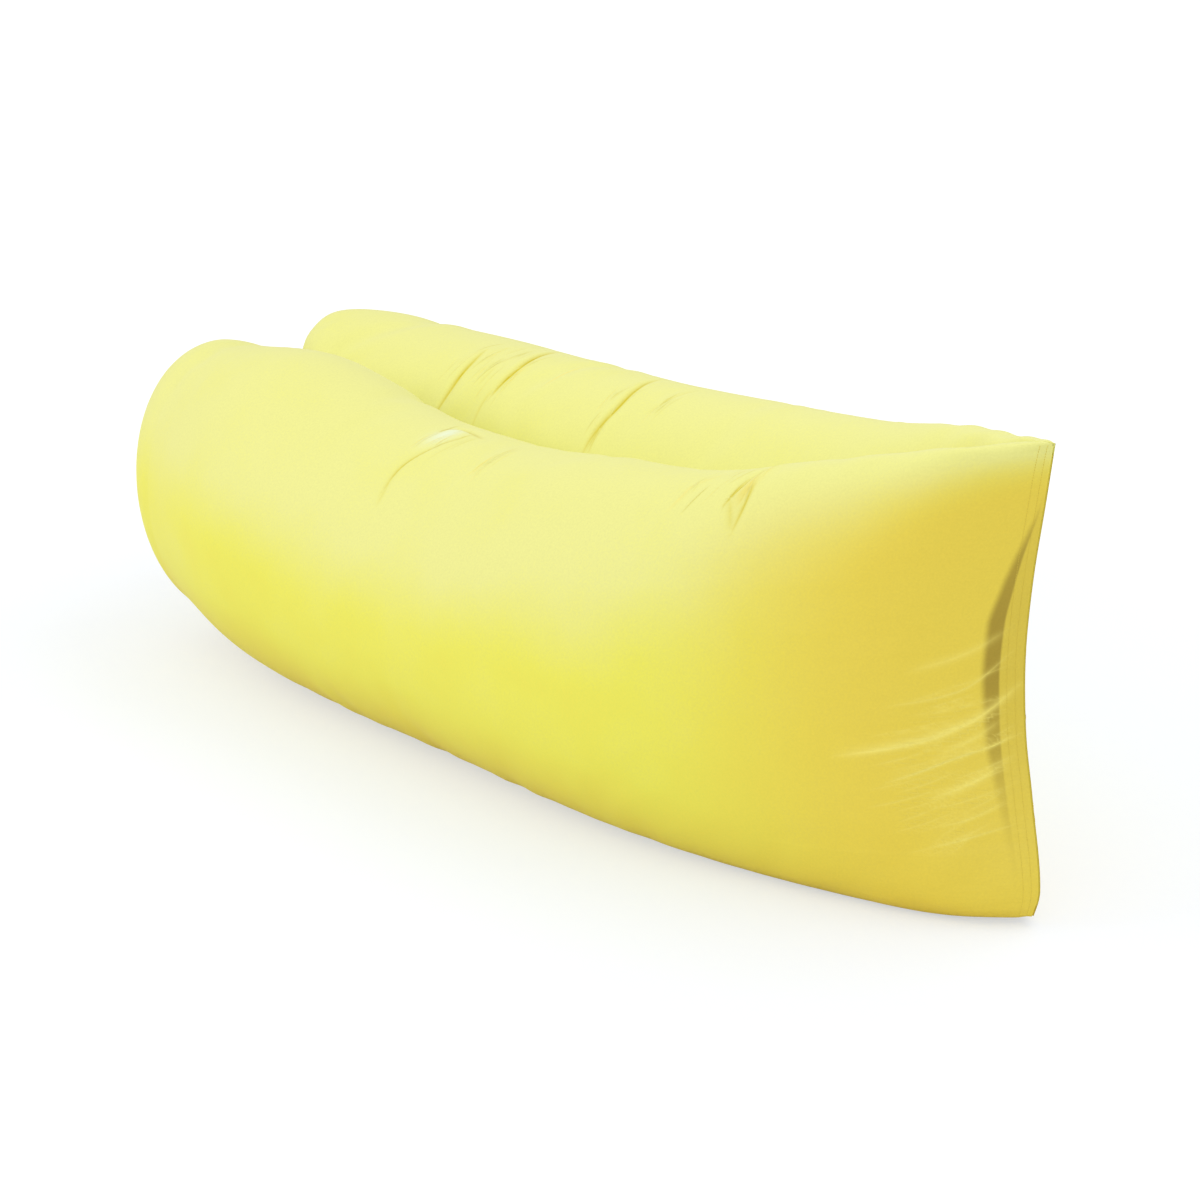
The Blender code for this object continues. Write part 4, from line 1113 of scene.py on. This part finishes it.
blackThread, blackShader = newMaterial(  # bonded nylon thread
    "blackThread", {"Base Color": linear("#303034"), "Roughness": 0.5}
)
yellowThread, yellowShader = newMaterial("yellowThread", {"Base Color": linear("#E0CB4A"), "Roughness": 0.55})
for material, shader in ((blackThread, blackShader), (yellowThread, yellowShader)):
    twistPlace = addNode(material, "TexCoord").outputs["Object"]
    strands = {"bands_direction": "DIAGONAL", "Scale": 900, "Distortion": 1, "Vector": twistPlace}
    twist = addNode(material, "TexWave", strands).outputs["Fac"]
    bump = addNode(material, "Bump", {"Strength": 0.4, "Distance": 0.1 * mm, "Height": twist})
    feed(material, shader, "Normal", bump)


def boxStitch(sign, face):  # a box with a cross through both layers of a tab's free stretch, on one face
    low, high = np.radians(tab["boxAngles"])
    half = tab["boxHalf"]
    corners = [(low, -half), (high, -half), (high, half), (low, half), (low, -half)]
    lines = list(zip(corners, corners[1:])) + [(corners[0], corners[2]), (corners[1], corners[3])]
    rows = []
    for start, end in lines:
        share = np.linspace(0, 1, 30)
        angle = sign * (start[0] + (end[0] - start[0]) * share)
        across = start[1] + (end[1] - start[1]) * share
        out = face * (tab["apart"] / 2 + tab["layer"] / 2)
        surface = np.stack(loopPoint(angle, out), -1)
        beyond = np.stack(loopPoint(angle, out + face), -1)
        normal = beyond - surface
        points = np.stack([surface[:, 0], across, surface[:, 1]], -1)
        rows.append((placed(points), np.stack([normal[:, 0], across * 0, normal[:, 1]], -1)))
    return rows


def buildTab(name, sign):
    path, along = tabPath(sign)
    across = (np.linspace(-1, 1, tab["columns"]) * tab["width"] / 2)[None, :]
    points = np.stack(np.broadcast_arrays(path[:, :1], across, path[:, 1:]), -1)
    obj = gridPiece(name + "_strap", placed(points), along[:, None], across)
    thicken(obj, tab["layer"])
    dress(obj, webbingWeave)
    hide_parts(name)
    rows = boxStitch(sign, 1) + boxStitch(sign, -1)
    stitches = sewRows(name + "_stitches", rows, blackThread, rides=sign < 0)
    if sign < 0:
        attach(obj, "root")
        return
    # The upper strap and its stitches are not attached to the root: their placing is baked into their points
    for piece in (obj, stitches):
        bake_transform(piece)


buildTab("upper_webbing", 1)
buildTab("lower_webbing", -1)
print("webbing tabs built")


# Buckle and strips keep their CAD solids
def mouldedPlastic(name, colour, roughness, grain):
    material, shader = newMaterial(name, {"Base Color": linear(colour), "Specular IOR Level": 0.45})
    place = addNode(material, "TexCoord").outputs["Object"]
    spark = addNode(material, "TexNoise", {"Scale": grain, "Detail": 2, "Vector": place})
    wear = addNode(material, "TexNoise", {"Scale": 60, "Detail": 4, "Vector": place})
    rough = addNode(material, "MapRange", {0: wear, 3: roughness - 0.07, 4: roughness + 0.09})
    feed(material, shader, "Roughness", rough)
    bump = addNode(material, "Bump", {"Strength": 0.25, "Distance": 0.15 * mm, "Height": spark})
    feed(material, shader, "Normal", bump)
    return material


acetalBuckle = mouldedPlastic("acetalBuckle", "#1B1B1D", 0.42, 1400)
polytheneStrip = mouldedPlastic("polytheneStrip", "#5A5B5E", 0.5, 700)
for name in ("buckle_plug", "buckle_socket", "near_plug_arm", "far_plug_arm"):
    nodes[name].data.materials[0] = acetalBuckle
for name in ("outer_stiffener_strip", "inner_stiffener_strip"):
    nodes[name].data.materials[0] = polytheneStrip
print("buckle and strips finished")

# Patch pocket on the far sleeve's outer side, sewn on along three edges, with an elastic hem along its mouth
pocket = {
    "places": (0.2375, 0.4005),
    "turns": (54, 108),
    "lift": 0.9 * mm,
    "points": 90,
    "cloth": 0.7 * mm,
    "bag": 3.2 * mm,
    "mouth": 5.0 * mm,
    "ripple": 0.5 * mm,
    "sewnRow": 3,
    "hemTall": 12 * mm,
    "hemLift": 0.8 * mm,
    "hemCloth": 1.4 * mm,
    "hemPucker": 0.7 * mm,
}


def buildPocket():
    shape, count = sleeveShapes["far"], pocket["points"]
    place, turns = shape["place"][:, 0], np.degrees(shape["turns"][0])
    body = np.nonzero(place > 0)[0]
    rowAt = np.interp(np.linspace(*pocket["places"], count), place[body], body)
    columnAt = np.interp(np.linspace(*pocket["turns"], count), turns, np.arange(len(turns)))
    grid = sampleGrid(shape["points"], rowAt, columnAt)
    normal = sampleGrid(gridNormals(shape["points"], True), rowAt, columnAt)
    normal /= np.linalg.norm(normal, axis=-1, keepdims=True)
    u = np.linspace(0, 1, count)[:, None]
    v = u.T
    edge = eased(np.minimum(np.minimum(u, 1 - u), 1 - v) * 8)
    bag = pocket["bag"] * edge * (0.55 + 0.45 * np.sin(5 * u + 3 * v))
    mouth = pocket["mouth"] * np.sin(math.pi * u) ** 1.5 * (1 - v) ** 3
    ripple = pocket["ripple"] * np.sin(34 * u + 7 * v) * (1 - v) ** 2 * edge
    lifted = grid + normal * (pocket["lift"] + bag + mouth + ripple)[..., None]
    along = (pocket["places"][1] - pocket["places"][0]) * sleeve["run"] * u
    around = lengthsAlong(grid[count // 2])[None, :]
    obj = gridPiece("pocket_patch", placed(lifted), along, around)
    # the pocket takes a fixed share of the painted shade
    addAttribute(obj, "facingShade", np.full(edge.shape, 0.35))
    addAttribute(obj, "crinkle", (1 - edge) * 0.8)
    thicken(obj, pocket["cloth"], 1)
    dress(obj, sleeveNylon)
    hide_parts("side_pocket")
    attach(obj, "root")
    sew, row = [], pocket["sewnRow"]
    for line in (np.s_[row, row:-row], np.s_[-row - 1, row:-row], np.s_[row:-row, -row - 1]):
        sew.append((placed(lifted[line] + normal[line] * pocket["cloth"]), normal[line]))
    sewRows("pocket_stitches", sew, yellowThread)
    tall = int(pocket["hemTall"] / (around[0, -1] / (count - 1))) + 1
    hemRows, hemColumns = np.linspace(0, count - 1, 240), np.linspace(0, tall, 9)
    pucker = pocket["hemPucker"] * np.abs(np.sin(hemRows * 0.62 + 0.5 * np.sin(hemRows * 0.21)))[:, None]
    hemNormal = sampleGrid(normal, hemRows, hemColumns)
    hemLift = (pocket["cloth"] + pocket["hemLift"] + pucker)[..., None]
    hem = sampleGrid(lifted, hemRows, hemColumns) + hemNormal * hemLift
    hemAlong = np.interp(hemRows, range(count), along[:, 0])[:, None]
    hemObject = gridPiece("pocket_hem_band", placed(hem), hemAlong, hemColumns[None, :] * mm)
    thicken(hemObject, pocket["hemCloth"])
    dress(hemObject, seamTape)
    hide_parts("pocket_hem")
    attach(hemObject, "root")


buildPocket()
print("pocket sewn on")


def sewHeadSeam():
    rows = []
    for side in ("near", "far"):
        shape = sleeveShapes[side]
        normal = gridNormals(shape["points"], True)
        turns = np.degrees(shape["turns"][0])
        outer = np.nonzero((turns > 6) & (turns < 174))[0]
        hand = np.array([1, shape["hand"], 1])
        for back in (2, 4):
            line = shape["points"][-1 - back, outer]
            rows.append((placed(line, shape["hand"]), normal[-1 - back, outer] * hand))
    sewRows("head_seam_stitches", rows, yellowThread)


sewHeadSeam()
print("head seam sewn")

# Studio
studio = {
    "floor": "#F6F8FF",
    "bounce": "#F1EFE4",
    "floorSize": 60,
    "glow": 0.5,  # how much of the floor's brightness is its own, so that it stays white round the shadow
    "glowStrength": 1.15,
    "glowColour": "#FAFDFF",
    "fade": (1.15, 2.1),  # where the floor's shade fades to the white of the backdrop, from the middle
    "ambient": 0.76,
    "aim": (0.1, 0, 0.3),
    # each lamp's place, size and power
    "key": ((-2.6, -4.0, 3.0), 3.2, 56),
    "top": ((0.9, 1.4, 3.6), 2.4, 28),
    "fill": ((3.0, -3.2, 1.5), 3.0, 14),
}


def buildStudio():
    bpy.ops.mesh.primitive_plane_add(size=studio["floorSize"])
    floor = bpy.context.object
    floor.name = "floor"
    material = bpy.data.materials.new("paperSweep")
    material.use_nodes = True
    material.node_tree.nodes.clear()
    seen = addNode(material, "LightPath").outputs["Is Camera Ray"]
    papers = {"data_type": "RGBA", 0: seen, 6: linear(studio["bounce"]), 7: linear(studio["floor"])}
    matt = addNode(material, "BsdfDiffuse", {"Color": addNode(material, "Mix", papers).outputs[2]})
    white = {"Color": linear(studio["glowColour"]), "Strength": studio["glowStrength"]}
    spot = addNode(material, "TexCoord").outputs["Object"]
    reach = addNode(material, "VectorMath", {"operation": "LENGTH", 0: spot}).outputs["Value"]
    low, high = studio["fade"]
    fade = {"interpolation_type": "SMOOTHSTEP", 0: reach, 1: low, 2: high, 3: studio["glow"], 4: 1.0}
    lit = addNode(material, "MapRange", fade)
    glow = addNode(material, "Math", {"operation": "MULTIPLY", 0: seen, 1: lit})
    mixed = addNode(material, "MixShader", {0: glow, 1: matt, 2: addNode(material, "Emission", white)})
    addNode(material, "OutputMaterial", {"Surface": mixed})
    floor.data.materials.append(material)
    for name in ("key", "top", "fill"):
        place, size, power = studio[name]
        bpy.ops.object.light_add(type="AREA", location=place)
        lamp = bpy.context.object
        lamp.name = name + "Lamp"
        lamp.data.energy = power
        lamp.data.size = size
        lamp.rotation_mode = "QUATERNION"
        lamp.rotation_quaternion = (Vector(place) - Vector(studio["aim"])).to_track_quat("Z", "Y")
    world = bpy.data.worlds.new("studioWorld")
    bpy.context.scene.world = world
    world.use_nodes = True
    world.node_tree.nodes.clear()
    seen = addNode(world, "LightPath").outputs["Is Camera Ray"]
    ambient = addNode(world, "Mix", {"data_type": "FLOAT", 0: seen, 2: studio["ambient"], 3: 1.0})
    light = addNode(world, "Background", {"Color": (1, 1, 1, 1), "Strength": ambient})
    addNode(world, "OutputWorld", {"Surface": light})


buildStudio()
print("studio lit")
